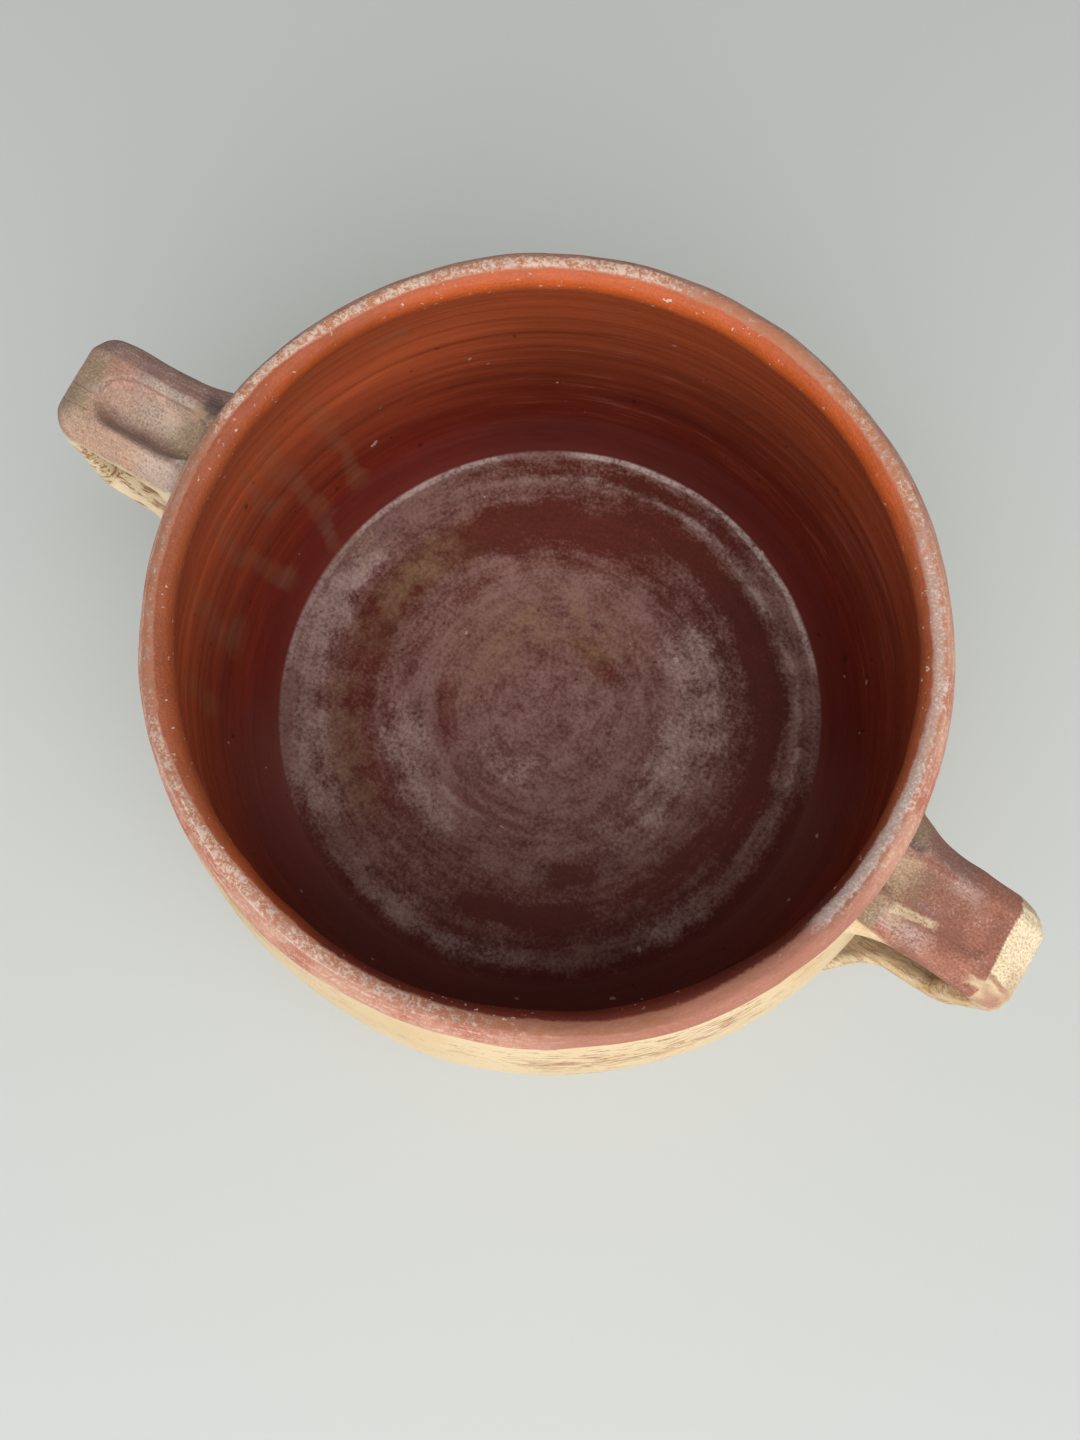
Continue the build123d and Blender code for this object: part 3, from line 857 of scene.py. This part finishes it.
def left_handle_finish(handles, colours):
    """Weathered grey-brown slip with a buff thumb scoop, painted shade in the scoop and a far edge darkened
    by dark slip and painted shade, and cream on the near side brightened by painted light.
    """
    f = HandleFinish("left", handles)
    scoop = f.layer("scoop")
    # 0.1 is the strength of the weak painted shade inside the left loop.
    bare, cracks = f.bare_clay(colours, 0.1, 0.7)
    # Painted light: the left strap's bare clay is lightened halfway to chalk, away from its cracks.
    bare = f.mix(0.5 * (1 - cracks), bare, colours.chalk_and_light)
    slip = f.mix(f.step(0.40, 0.62, f.clouds), colours.slip_grey, colours.slip_pink)
    slip = f.mix(f.step(0.35, 0.85, scoop) * 0.7, slip, colours.buff)
    slip = f.paint(slip, (
        (colours.bloom, 0.35, 134, 1, 12, 5, 0.8),
        (colours.slip_pink, 0.7, 138, -14, 14, 4, 0.5),
        (colours.bloom, 0.5, 121, -13, 7, 4, 0.6),
        (colours.moss_and_shade, 0.65, 155, 0, 5, 10, 0.5),
        (colours.moss_and_shade, 0.55, 153.5, 4, 2.5, 3.5, 0.6),
        (colours.slip_red, 0.5, 146, 7, 5.5, 3.0, 0.6),
        (colours.slip_red, 0.3, 143, 1.5, 6, 3.5, 0.7),
        # Painted shade on the near wall of the left scoop, which faces away from the light.
        (colours.slip_dark, 0.85, 129, -6.4, 12, 2.6, 0.9),
        (colours.slip_dark, 0.35, 144, -5.0, 4, 1.8, 0.9, 0.45),
        (colours.moss_and_shade, 0.6, 119, -1, 5.5, 6.5, 0.7),
        # Painted highlights along the scoop's far ridge and at its near edge.
        (colours.bloom, 0.45, 131, 8.4, 9, 1.2, 0.6),
        (colours.bloom, 0.6, 119, -8.2, 4, 0.9, 0.6, -0.3),
    ))
    # Painted shade along the crease round the scoop's far side and end.
    rim = f.band(scoop, 0.12, 0.06, 0.08) * f.step(-4 * MM, MM, f.across)
    slip = f.mix(rim * 0.6, slip, colours.slip_dark)
    # The far facet, which faces away from the light, is darkened with dark slip and painted shade.
    facet = f.step(9.6 * MM, 10.8 * MM, f.across + 1.5 * MM * (f.streaks - 0.5))
    slip = f.mix(facet * (0.45 + 0.4 * f.step(0.58, 0.44, f.streaks)), slip, colours.slip_dark)
    slip = f.dust(slip, 0.52, 0.64, 0.4, colours.bloom)
    slip = f.dust(slip, 0.48, 0.38, 0.65, colours.slip_dark)
    slip = f.paint(slip, (
        # Painted shadow in the crevice beside the lip, at the strap's far root.
        (colours.crevice_shadow, 0.75, 117, 11, 3.5, 3, 0.6),
        (colours.buff, 0.8, 119.5, 7.4, 2.4, 1.5, 0.4),
    ))
    waver = f.across + 3 * MM * (f.grain(14 * MM, 2) - 0.5)
    slits = f.band(waver, -2.6 * MM, 0.05 * MM, 0.25 * MM) * f.step(149 * MM, 151 * MM, f.x)
    slits = slits | f.band(waver, -8 * MM, 0.05 * MM, 0.25 * MM) * f.step(147 * MM, 149 * MM, f.x)
    slip = f.mix(slits * 0.8, slip, colours.slip_dark)
    kept = f.top * f.step(-17.6 * MM, -16.4 * MM, f.across + 2.4 * MM * (f.other - 0.5))
    return f.clay(slip, kept, bare, cracks | slits)


class OLLA_OT_body(bpy.types.Operator):
    """Turn the pot's body, with its throwing rings and the finger spiral on its floor"""

    bl_idname = "olla.body"
    bl_label = "Body"

    segments = 240
    # Height and grains to the metre of the outside's unevenness
    uneven = 0.25 * MM
    uneven_grain = Vector((40, 40, 130))
    # Height over which all marks fade out below the seam, and heights between which the floor takes over
    seam_fade = 6 * MM
    floor_fade = (22 * MM, 11 * MM)
    # Radii over which the finger spiral rises from the middle and fades out before the wall
    spiral_rise = 12 * MM
    spiral_fade = (78 * MM, 60 * MM)
    # Distances at which a finger line starts and is at its deepest, and the depth that is painted in full
    line_reach = (1.9 * MM, 0.3 * MM)
    full_groove = 0.5 * MM
    # Azimuth and half width in degrees, height, climb to the radian and depth of the clearest finger lines
    finger_lines = (
        (150, 50, 75 * MM, 2 * MM, 0.42 * MM),
        (96, 24, 78 * MM, -3 * MM, 0.34 * MM),
        (170, 30, 47 * MM, -1 * MM, 0.42 * MM),
        (80, 50, 54 * MM, 5 * MM, 0.42 * MM),
        (100, 16, 33 * MM, 0 * MM, 0.34 * MM),
        (120, 40, 101 * MM, 2 * MM, 0.14 * MM),
        (150, 34, 88 * MM, -2 * MM, 0.14 * MM),
    )

    def section(self, bm, size):
        """Closed half section: underside, outer wall, seam under the lip, inner wall and floor."""
        heel, heel_end = rounded_foot(size, size.belly_radius, 0.0, size.heel_round)
        inner_belly = size.belly_radius - size.wall
        knuckle, knuckle_end = rounded_foot(size, inner_belly, size.floor, size.knuckle_round)
        neck_radius = size.lip_radius - size.neck_inset
        seam_radius, seam_heading = inner_seam(size)
        arc = lower_arc(size)
        line = Section(bm, 0.0, 0.0)
        line.run(heel, 0.0, steps=26)
        line.bow(*heel_end, (1, 0), steps=8)
        out, down = heel_end[0] - (size.belly_radius - arc), size.belly_height - heel_end[1]
        line.bow(size.belly_radius, size.belly_height, (down, out), steps=26)
        line.bow(neck_radius, size.neck_height, (0, 1), steps=38)
        line.run(seam_radius, size.neck_height, steps=2)
        line.bow(inner_belly, size.belly_height, (-seam_heading[0], -seam_heading[1]), steps=72)
        line.bow(*knuckle_end, (0, -1), steps=36)
        out, down = knuckle_end[0] - (inner_belly - arc), size.belly_height - knuckle_end[1]
        line.bow(knuckle, size.floor, (-down, -out), steps=8)
        line.run(0.0, size.floor, steps=84)

    def groove(self, co):
        """Depth of the finger lines at a place on the wall."""
        azimuth = math.atan2(co.y, co.x)
        depth = 0.0
        for middle, half, height, climb, deep in self.finger_lines:
            off = math.remainder(azimuth - math.radians(middle), math.tau)
            ends = ease(math.radians(half), math.radians(half * 0.6), abs(off))
            depth = max(depth, deep * ends * ease(*self.line_reach, abs(co.z - height - climb * off)))
        return depth

    def below_seam(self, size, co):
        """1 on most of the wall, falling to 0 at the seam under the lip."""
        return ease(size.neck_height, size.neck_height - self.seam_fade, co.z)

    def relief(self, size, co):
        """Height of the potter's marks above the plain inner skin."""
        azimuth = math.atan2(co.y, co.x)
        radius = math.hypot(co.x, co.y)
        level = co.z + size.ring_tilt * math.cos(azimuth - RING_CLIMB)
        place = Vector((0.9 * math.cos(azimuth), 0.9 * math.sin(azimuth), level / size.ring_spacing))
        rings = size.ring_depth * (noise.noise(place) + 0.6 * noise.noise(place * 2.1))
        rings *= self.below_seam(size, co)
        swirl = math.sin(math.tau * radius / size.spiral_pitch - azimuth)
        swirl *= size.spiral_depth * ease(0, self.spiral_rise, radius) * ease(*self.spiral_fade, radius)
        swirl *= 0.35 + 0.65 * ease(0.2, -0.9, math.cos(azimuth - SPIRAL_FAINT)) + 0.3 * noise.noise(co * 30)
        flat = ease(*self.floor_fade, co.z)
        return rings * (1 - 0.7 * flat) + swirl * flat

    def execute(self, context):
        size, colours = context.scene.olla_body, context.scene.olla_colours
        bm = bmesh.new()
        self.section(bm, size)
        turn_round(bm, self.segments)
        groove_layer = bm.verts.layers.float.new("groove")
        for face in bm.faces:
            middle = face.calc_center_median()
            outward = face.normal.dot(Vector((middle.x, middle.y, 0)))
            faces_up = face.normal.z > 0.5
            inside = outward < 0 or (faces_up and middle.z > size.floor / 2)
            face.material_index = 1 if inside and middle.z < size.neck_height - SEAM_SLACK else 0
        for edge in bm.edges:
            edge.smooth = min(vert.co.z for vert in edge.verts) < size.neck_height - SEAM_SLACK
        moves = {}
        for vert in bm.verts:
            move = Vector()
            inner = any(face.material_index == 1 for face in vert.link_faces)
            if inner:
                groove = self.groove(vert.co)
                vert[groove_layer] = min(1.0, groove / self.full_groove)
                move = vert.normal * (self.relief(size, vert.co) - groove)
            elif vert.co.z > MM:
                rough = self.uneven * noise.noise(vert.co * self.uneven_grain)
                move = vert.normal * rough * self.below_seam(size, vert.co)
            moves[vert] = push_out(size, vert.co) + move
        settle(moves)
        materials = (outer_slip(colours), inner_glaze(size, colours))
        finish_piece("turned_body", bm, materials, "glazed_body", "base", "lower_wall", "upper_wall")
        return {"FINISHED"}


class OLLA_OT_lip(bpy.types.Operator):
    """Roll the lip, with the crust where its glaze ends"""

    bl_idname = "olla.lip"
    bl_label = "Rolled lip"

    segments = 480
    # Rise above the throat before the lip rolls over, and the heading in which it does
    throat_rise = MM / 5
    throat_heading = (-0.35, 0.94)
    # Heights and grains to the metre of the lumps, then grains of the crust and its half width on the roll
    lumps = ((0.45 * MM, 38), (0.2 * MM, 120))
    crust_grain = 420
    crust_half = 0.22
    # Height over which the lumps rise above the seam
    seam_fade = 4 * MM

    def section(self, bm, size):
        """Closed section of the lip from the neck over the crest to the throat and down to the seam."""
        seam_radius, seam_heading = inner_seam(size)
        throat_radius, throat_height = throat_place(size)
        crest = size.lip_radius - size.lip_width / 2
        line = Section(bm, seam_radius, size.neck_height)
        line.bow(throat_radius, throat_height, seam_heading, steps=8)
        line.run(throat_radius, throat_height + self.throat_rise, steps=1)
        line.bow(crest, size.rim_height, self.throat_heading, steps=20)
        line.bow(size.lip_radius, size.rim_height - size.lip_roll, (1, 0), steps=16)
        line.run(size.lip_radius - size.neck_inset, size.neck_height, steps=8)
        line.close()

    def execute(self, context):
        size, colours = context.scene.olla_body, context.scene.olla_colours
        bm = bmesh.new()
        self.section(bm, size)
        turn_round(bm, self.segments)
        crest = size.lip_radius - size.lip_width / 2
        middle = size.rim_height - size.lip_roll
        roll_layer = bm.verts.layers.float.new("roll")
        for edge in bm.edges:
            edge.smooth = max(vert.co.z for vert in edge.verts) > size.neck_height + SEAM_SLACK
        moves = {}
        # The roll is counted in half turns: 0 at the outer edge, 0.5 on the crest and 1 at the throat
        for vert in bm.verts:
            radius = math.hypot(vert.co.x, vert.co.y)
            roll = math.atan2(vert.co.z - middle, radius - crest) / math.pi
            roll = roll + 2 if roll < -0.5 else roll
            vert[roll_layer] = roll
            held = ease(size.neck_height, size.neck_height + self.seam_fade, vert.co.z)
            lumps = sum(high * noise.noise(vert.co * grain) for high, grain in self.lumps)
            crusted = max(0.0, noise.noise(vert.co * self.crust_grain)) * size.crust_height
            crusted *= ease(self.crust_half, 0.0, abs(roll - 0.5))
            moves[vert] = push_out(size, vert.co) + vert.normal * held * (lumps + crusted)
        settle(moves)
        finish_piece("rolled_lip", bm, (lip_finish(colours),), "glazed_lip", "rim_coil")
        return {"FINISHED"}


# Part of the flare's length up to which a root goes on widening
FLARE_LIMIT = 1.3


def strap_half_width(handles, width, upper, wall_radius, x):
    """Half the strap's width at a distance from the axis: even, then flaring towards the wall."""
    flare = handles.upper_flare if upper else handles.lower_flare
    share = max(0.0, (wall_radius + flare - x) / flare)
    return width / 2 + (handles.root_width - width) / 2 * min(share, FLARE_LIMIT) ** 2


class Strap:
    """Sizes of one strap, its direction to the far side and its section."""

    # Where the falls start, as parts of the half width, and how round they are
    far_start, far_round = 0.58, 1.15
    near_start, near_round, undercut_round = 0.55, 1.9, 1.2
    # Steps round each edge, and cuts through the thickness and across the width
    edge_steps = 5
    cuts = (4, 36)

    def __init__(self, handles, side):
        self.handles = handles
        for size in ("reach", "azimuth", "width", "scoop", "slant", "far_fall", "near_fall", "undercut"):
            setattr(self, size, getattr(handles, f"{side}_{size}"))
        self.far = 1 if side == "right" else -1

    def fall(self, across):
        """How far the outer face falls away to its far edge and to its near edge."""
        far_share = max(0.0, (across - self.far_start) / (1 - self.far_start))
        near_share = max(0.0, (-across - self.near_start) / (1 - self.near_start))
        near_round = self.undercut_round if self.undercut else self.near_round
        return self.far_fall * far_share**self.far_round + self.near_fall * near_share**near_round

    def ring(self, bm, place, ahead):
        """Section square to its heading: flat inside, with the outer face falling to its edges."""
        thick, edge_round = self.handles.thickness, self.handles.edge_round
        bmesh.ops.create_grid(bm, x_segments=1, y_segments=1, size=0.5)
        bmesh.ops.scale(bm, vec=(thick, self.width, 1), verts=bm.verts)
        bmesh.ops.bevel(
            bm, geom=bm.verts[:], offset=edge_round, offset_type="OFFSET", segments=self.edge_steps,
            profile=0.5, affect="VERTICES", material=-1,
        )
        for axis, cuts in enumerate(self.cuts):
            sides = [edge for edge in bm.edges if side_of(edge, axis) > edge_round]
            bmesh.ops.subdivide_edges(bm, edges=sides, cuts=cuts)
        across_it = [edge for edge in bm.edges if len(edge.link_faces) == 2]
        bmesh.ops.delete(bm, geom=across_it, context="EDGES")
        bmesh.ops.delete(bm, geom=bm.faces[:], context="FACES_ONLY")
        inner = bm.verts.layers.float.new("inner")
        side = bm.verts.layers.float.new("side")
        for vert in bm.verts:
            vert[inner] = ease(-thick / 6, -thick / 2, vert.co.x)
            outer = ease(-thick / 2, thick / 2, vert.co.x)
            across = 2 * vert.co.y / self.width * self.far
            vert[side] = across
            vert.co.x -= outer * self.fall(across)
        frame_here = Matrix(((-ahead.z, 0, ahead.x), (0, 1, 0), (ahead.x, 0, ahead.z))).to_4x4()
        frame_here.translation = place
        bmesh.ops.transform(bm, matrix=frame_here, verts=bm.verts)
        return bm.verts[:] + bm.edges[:]


def side_of(edge, axis):
    """How far an edge runs along an axis."""
    return abs(edge.verts[0].co[axis] - edge.verts[1].co[axis])


def cap_ends(bm):
    """Closes the two open ends of a strap."""
    bmesh.ops.holes_fill(bm, edges=[edge for edge in bm.edges if edge.is_boundary], sides=0)
    bmesh.ops.recalc_face_normals(bm, faces=bm.faces)
    bm.normal_update()


class Loop:
    """Middle line of one strap in the side view."""

    def __init__(self, handles, reach):
        half = handles.thickness / 2
        self.radius = handles.bend - half
        foot = handles.top - handles.loop_height
        self.out = Vector((1, 0, 0))
        self.down = Vector((-handles.lean, 0, foot + handles.slope - handles.top)).normalized()
        inside = 90 * MM
        self.back = Vector((inside - (reach - handles.lean), 0, -handles.slope)).normalized()
        self.start = Vector((0, 0, handles.top - half))
        upright = Vector((reach, 0, handles.top)) + self.inner(self.down) * half
        lower = Vector((inside, 0, foot)) + self.inner(self.back) * half
        self.high = self.meet(self.start, self.out, upright, self.down)
        self.low = self.meet(upright, self.down, lower, self.back)

    @staticmethod
    def inner(ahead):
        """Direction from the outside of the loop to its inside."""
        return Vector((ahead.z, 0, -ahead.x))

    @staticmethod
    def meet(first, first_way, second, second_way):
        """Crossing of two lines in the side view."""
        gap = second - first
        share = (gap.x * second_way.z - gap.z * second_way.x) / (
            first_way.x * second_way.z - first_way.z * second_way.x
        )
        return first + first_way * share

    def corner(self, place, before, after):
        """Where a bend starts and ends, its centre and its angle."""
        angle = before.angle(after)
        back_off = self.radius * math.tan(angle / 2)
        start = place - before * back_off
        return start, place + after * back_off, start + self.inner(before) * self.radius, angle


class OLLA_OT_straps(bpy.types.Operator):
    """Pull and bend both strap handles, press their thumb scoops and smear the luting clay onto the wall"""

    bl_idname = "olla.straps"
    bl_label = "Strap handles"

    # How far the luting clay is sunk into the wall, its length, and where the bare strap starts in it
    sunk = 3 * MM
    lute_span = 14 * MM
    strap_start = 3 * MM
    # How far the lower roots are pressed in, and the height of the clay heaped on the upper ones
    root_sink = 4 * MM
    heap_height = 2 * MM

    def bend_strap(self, bm, strap, loop, start_x, end_x):
        """Straight upper arm, bend, upright end, bend and sloping lower arm."""
        begin, end, centre, angle = loop.corner(loop.high, loop.out, loop.down)
        ring = strap.ring(bm, Vector((start_x, 0, loop.start.z)), loop.out)
        ring = self.straight(bm, ring, Vector((begin.x - start_x, 0, 0)), steps=44)
        ring = sweep(bm, ring, steps=24, centre=centre, axis=(0, 1, 0), angle=angle)
        begin, last, centre, angle = loop.corner(loop.low, loop.down, loop.back)
        ring = self.straight(bm, ring, begin - end, steps=24)
        ring = sweep(bm, ring, steps=18, centre=centre, axis=(0, 1, 0), angle=angle)
        self.straight(bm, ring, loop.back * ((end_x - last.x) / loop.back.x), steps=26)
        cap_ends(bm)

    def straight(self, bm, ring, way, steps):
        """Straight pull of a ring."""
        return sweep(bm, ring, steps, step=way / steps)

    def smear(self, bm, size, strap, loop, upper, root):
        """Collar that carries the strap's section into the wall and flares on the way."""
        ahead = loop.out if upper else loop.back
        line = loop.start if upper else loop.low
        span, steps = self.lute_span, 28
        start_x = root - self.sunk
        first_x = start_x if upper else start_x + span
        first = Vector((first_x, 0, line.z + (first_x - line.x) * ahead.z / ahead.x))
        sweep(bm, strap.ring(bm, first, ahead), steps, step=ahead * (span / abs(ahead.x) / steps))
        cap_ends(bm)
        for vert in bm.verts:
            share = (vert.co.x - start_x) / span
            axis_z = line.z + (vert.co.x - line.x) * ahead.z / ahead.x
            lift = vert.co.z - axis_z
            swell = 0.6 * ease(1, 0, share) ** 2 * (1 if lift < 0 or not upper else 0.15)
            vert.co.z = axis_z + lift * (1.03 - 0.08 * ease(0.7, 1, share) + swell)
            smear_end = span + 3 * MM * noise.noise(vert.co * 90)
            wall_x = math.sqrt((self.wall_radius(size, vert.co.z) - self.sunk) ** 2 - (vert.co.y * 1.25) ** 2)
            vert.co.x = wall_x + share * (start_x + smear_end - wall_x)

    def wall_radius(self, size, height):
        """Outer radius of the wall above the belly."""
        inset = size.belly_radius - size.lip_radius + size.neck_inset
        rise = size.neck_height - size.belly_height
        arc = (inset**2 + rise**2) / (2 * inset)
        return size.belly_radius - arc + math.sqrt(arc**2 - (height - size.belly_height) ** 2)

    def scooped(self, handles, strap, place):
        """Share of the thumb scoop's depth at a place, and how near the place is to the scoop's near rim."""
        left_over = (strap.reach - handles.scoop_end - place.x) / handles.scoop_nose
        share = min(1.0, max(0.0, left_over))
        half = handles.scoop_width / 2 * math.sqrt(1 - (1 - share) ** 2) + MM / 100
        # It narrows towards the lip, is steep at its near rim and runs out to the far side
        half *= 0.6 + 0.4 * ease(112 * MM, 122 * MM, place.x)
        across = (place.y * strap.far + handles.scoop_shift) / half
        slope = 1 - 0.6 * ease(-0.4, 1.0, across)
        pressed = ease(-1.0, -0.45, across) * slope * ease(1.06, 0.92, across) * ease(0, 0.35, share)
        rim = ease(0.3, 0, abs(across + 1.12)) * ease(0, 0.5, share)
        return pressed, rim

    def shape(self, bm, size, strap, loop):
        """Flares the roots, presses the thumb scoop, heaps clay on the root and leaves it all uneven."""
        bm.normal_update()
        handles = strap.handles
        scoop_layer = bm.verts.layers.float.new("scoop")
        inner_layer = bm.verts.layers.float["inner"]
        middle = handles.top - handles.loop_height / 2
        neck = size.lip_radius - size.neck_inset
        half_width = strap.width / 2
        moves = {}
        for vert in bm.verts:
            place = vert.co.copy()
            upper = place.z > middle
            root = neck if upper else size.belly_radius - self.root_sink
            place.y *= strap_half_width(handles, strap.width, upper, root, place.x) / half_width
            across = vert.co.y / half_width * strap.far
            near, lower = ease(0, -0.6, across), ease(middle + 20 * MM, middle - 14 * MM, place.z)
            cut_away = strap.undercut * vert[inner_layer] * (1 - 1.4 * lower)
            place.y *= 1 + near * (handles.lower_swell * lower - cut_away)
            at_end = ease(strap.reach - 24 * MM, strap.reach - 8 * MM, place.x)
            place.x += at_end * strap.slant * across / 2
            crown = ease(loop.start.z, loop.start.z + 3 * MM, place.z)
            pressed, rim = self.scooped(handles, strap, place)
            vert[scoop_layer] = pressed * crown
            place.z -= strap.scoop * crown * (pressed - 0.15 * rim)
            heap = ease(neck + 13 * MM, neck + 4 * MM, place.x) * ease(0.9, 0.2, abs(across))
            place.z += self.heap_height * heap * crown * (1 - pressed)
            uneven = noise.noise(place * 60) + 0.5 * noise.noise(place * 170)
            moves[vert] = place + vert.normal * handles.lumps * uneven
        settle(moves)

    def execute(self, context):
        scene = context.scene
        size, handles, colours = scene.olla_body, scene.olla_handles, scene.olla_colours
        finishes = {
            "right": right_handle_finish(handles, colours),
            "left": left_handle_finish(handles, colours),
        }
        roots = {"upper": size.lip_radius + 2 * MM, "lower": size.belly_radius - 2 * MM}
        for side, clay in finishes.items():
            strap = Strap(handles, side)
            loop = Loop(handles, strap.reach)
            pieces = {"strap": bmesh.new(), "upper_lute": bmesh.new(), "lower_lute": bmesh.new()}
            starts = [root + self.strap_start for root in roots.values()]
            self.bend_strap(pieces["strap"], strap, loop, *starts)
            for level, root in roots.items():
                self.smear(pieces[f"{level}_lute"], size, strap, loop, level == "upper", root)
            for part, bm in pieces.items():
                self.shape(bm, size, strap, loop)
                turned = Matrix.Rotation(strap.azimuth, 3, "Z")
                bmesh.ops.rotate(bm, verts=bm.verts, cent=(0, 0, 0), matrix=turned)
                slot = "slipped_clay" if part == "strap" else "luting_clay"
                finish_piece(f"{side}_{part}_clay", bm, (clay,), slot, f"{side}_{part}")
        return {"FINISHED"}


class OLLA_OT_stage(bpy.types.Operator):
    """Lay the ground, set the lamps and place the camera"""

    bl_idname = "olla.stage"
    bl_label = "Stage"

    # How far the ground lies under the foot
    drop = MM / 10

    def ground(self, stage):
        """Pale floor with painted light: its colour pales towards one side."""
        bm = bmesh.new()
        bmesh.ops.create_grid(bm, x_segments=8, y_segments=8, size=stage.ground_half)
        bmesh.ops.translate(bm, vec=(0, 0, -self.drop), verts=bm.verts)
        mesh = bpy.data.meshes.new("ground")
        bm.to_mesh(mesh)
        bm.free()
        f = Finish("ground_paint")
        along = f.x * math.cos(stage.ground_light_way) + f.y * math.sin(stage.ground_light_way)
        along = along & stage.ground_reach | -stage.ground_reach
        # Painted light: the ground's colour grows lighter along one direction, as far as the reach.
        shade = 1 + stage.ground_light_fall / (100 * MM) * along
        mesh.materials.append(f.done(f.lighten(shade, tuple(stage.ground)), 0.9))
        floor = bpy.data.objects.new("ground", mesh)
        bpy.context.scene.collection.objects.link(floor)

    def lamp(self, name, place, aim, width, power):
        """Large square lamp that points at a place."""
        light = bpy.data.lights.new(name, "AREA")
        light.shape = "SQUARE"
        light.size = width
        light.energy = power
        lamp = bpy.data.objects.new(name, light)
        lamp.location = place
        lamp.rotation_euler = (Vector(aim) - Vector(place)).to_track_quat("-Z", "Y").to_euler()
        bpy.context.scene.collection.objects.link(lamp)

    def camera(self, stage, rim_height):
        """Camera above the near side of the lip, looking steeply down."""
        pitch, yaw, roll = stage.camera_pitch, stage.camera_yaw, stage.camera_roll
        ahead = Vector((math.sin(yaw) * math.cos(pitch), math.cos(yaw) * math.cos(pitch), -math.sin(pitch)))
        side = Vector((math.cos(yaw), -math.sin(yaw), 0))
        up = side.cross(ahead)
        rolled_side = math.cos(roll) * side + math.sin(roll) * up
        rolled_up = math.cos(roll) * up - math.sin(roll) * side
        view = Matrix((rolled_side, rolled_up, -ahead)).transposed().to_4x4()
        view.translation = (0, -stage.camera_out, stage.camera_up)
        lens = bpy.data.cameras.new("camera")
        lens.lens = stage.lens
        lens.sensor_width = stage.sensor
        lens.clip_start = 10 * MM
        camera = bpy.data.objects.new("camera", lens)
        camera.matrix_world = (
            Matrix.Translation((0, 0, rim_height)) @ Matrix.Rotation(stage.camera_turn, 4, "Z") @ view
        )
        bpy.context.scene.collection.objects.link(camera)
        bpy.context.scene.camera = camera

    def execute(self, context):
        scene = context.scene
        stage = scene.olla_stage
        self.ground(stage)
        world = bpy.data.worlds.new("sky")
        world.use_nodes = True
        background = world.node_tree.nodes["Background"]
        background.inputs["Color"].default_value = (1, 1, 1, 1)
        background.inputs["Strength"].default_value = stage.sky
        scene.world = world
        turned = Matrix.Rotation(stage.camera_turn, 3, "Z")
        place = turned @ Vector(stage.key_place)
        self.lamp("key", place, (0, 0, stage.key_aim), stage.key_width, stage.key)
        self.camera(stage, scene.olla_body.rim_height)
        scene.view_settings.view_transform = "Standard"
        return {"FINISHED"}


class OLLA_PT_panel(bpy.types.Panel):
    """Olla tools in the sidebar"""

    bl_idname = "OLLA_PT_panel"
    bl_label = "Olla"
    bl_space_type = "VIEW_3D"
    bl_region_type = "UI"
    bl_category = "Olla"

    def draw(self, context):
        for tool in OPERATORS:
            self.layout.operator(tool.bl_idname)
        for group in GROUPS:
            settings = getattr(context.scene, group)
            for key in settings.__annotations__:
                self.layout.prop(settings, key)


GROUPS = {
    "olla_body": OllaBody,
    "olla_handles": OllaHandles,
    "olla_colours": OllaColours,
    "olla_stage": OllaStage,
}
OPERATORS = (OLLA_OT_body, OLLA_OT_lip, OLLA_OT_straps, OLLA_OT_stage)
CLASSES = (*GROUPS.values(), *OPERATORS, OLLA_PT_panel)


def register():
    """Adds the classes and hangs their settings on the scene."""
    for cls in CLASSES:
        bpy.utils.register_class(cls)
    for name, cls in GROUPS.items():
        setattr(bpy.types.Scene, name, bpy.props.PointerProperty(type=cls))


def unregister():
    """Takes the settings and the classes away again."""
    for name in GROUPS:
        delattr(bpy.types.Scene, name)
    for cls in reversed(CLASSES):
        bpy.utils.unregister_class(cls)


def main():
    register()
    bpy.ops.olla.body()
    bpy.ops.olla.lip()
    bpy.ops.olla.straps()
    bpy.ops.olla.stage()
    bpy.context.view_layer.update()


if __name__ == "__main__":
    main()
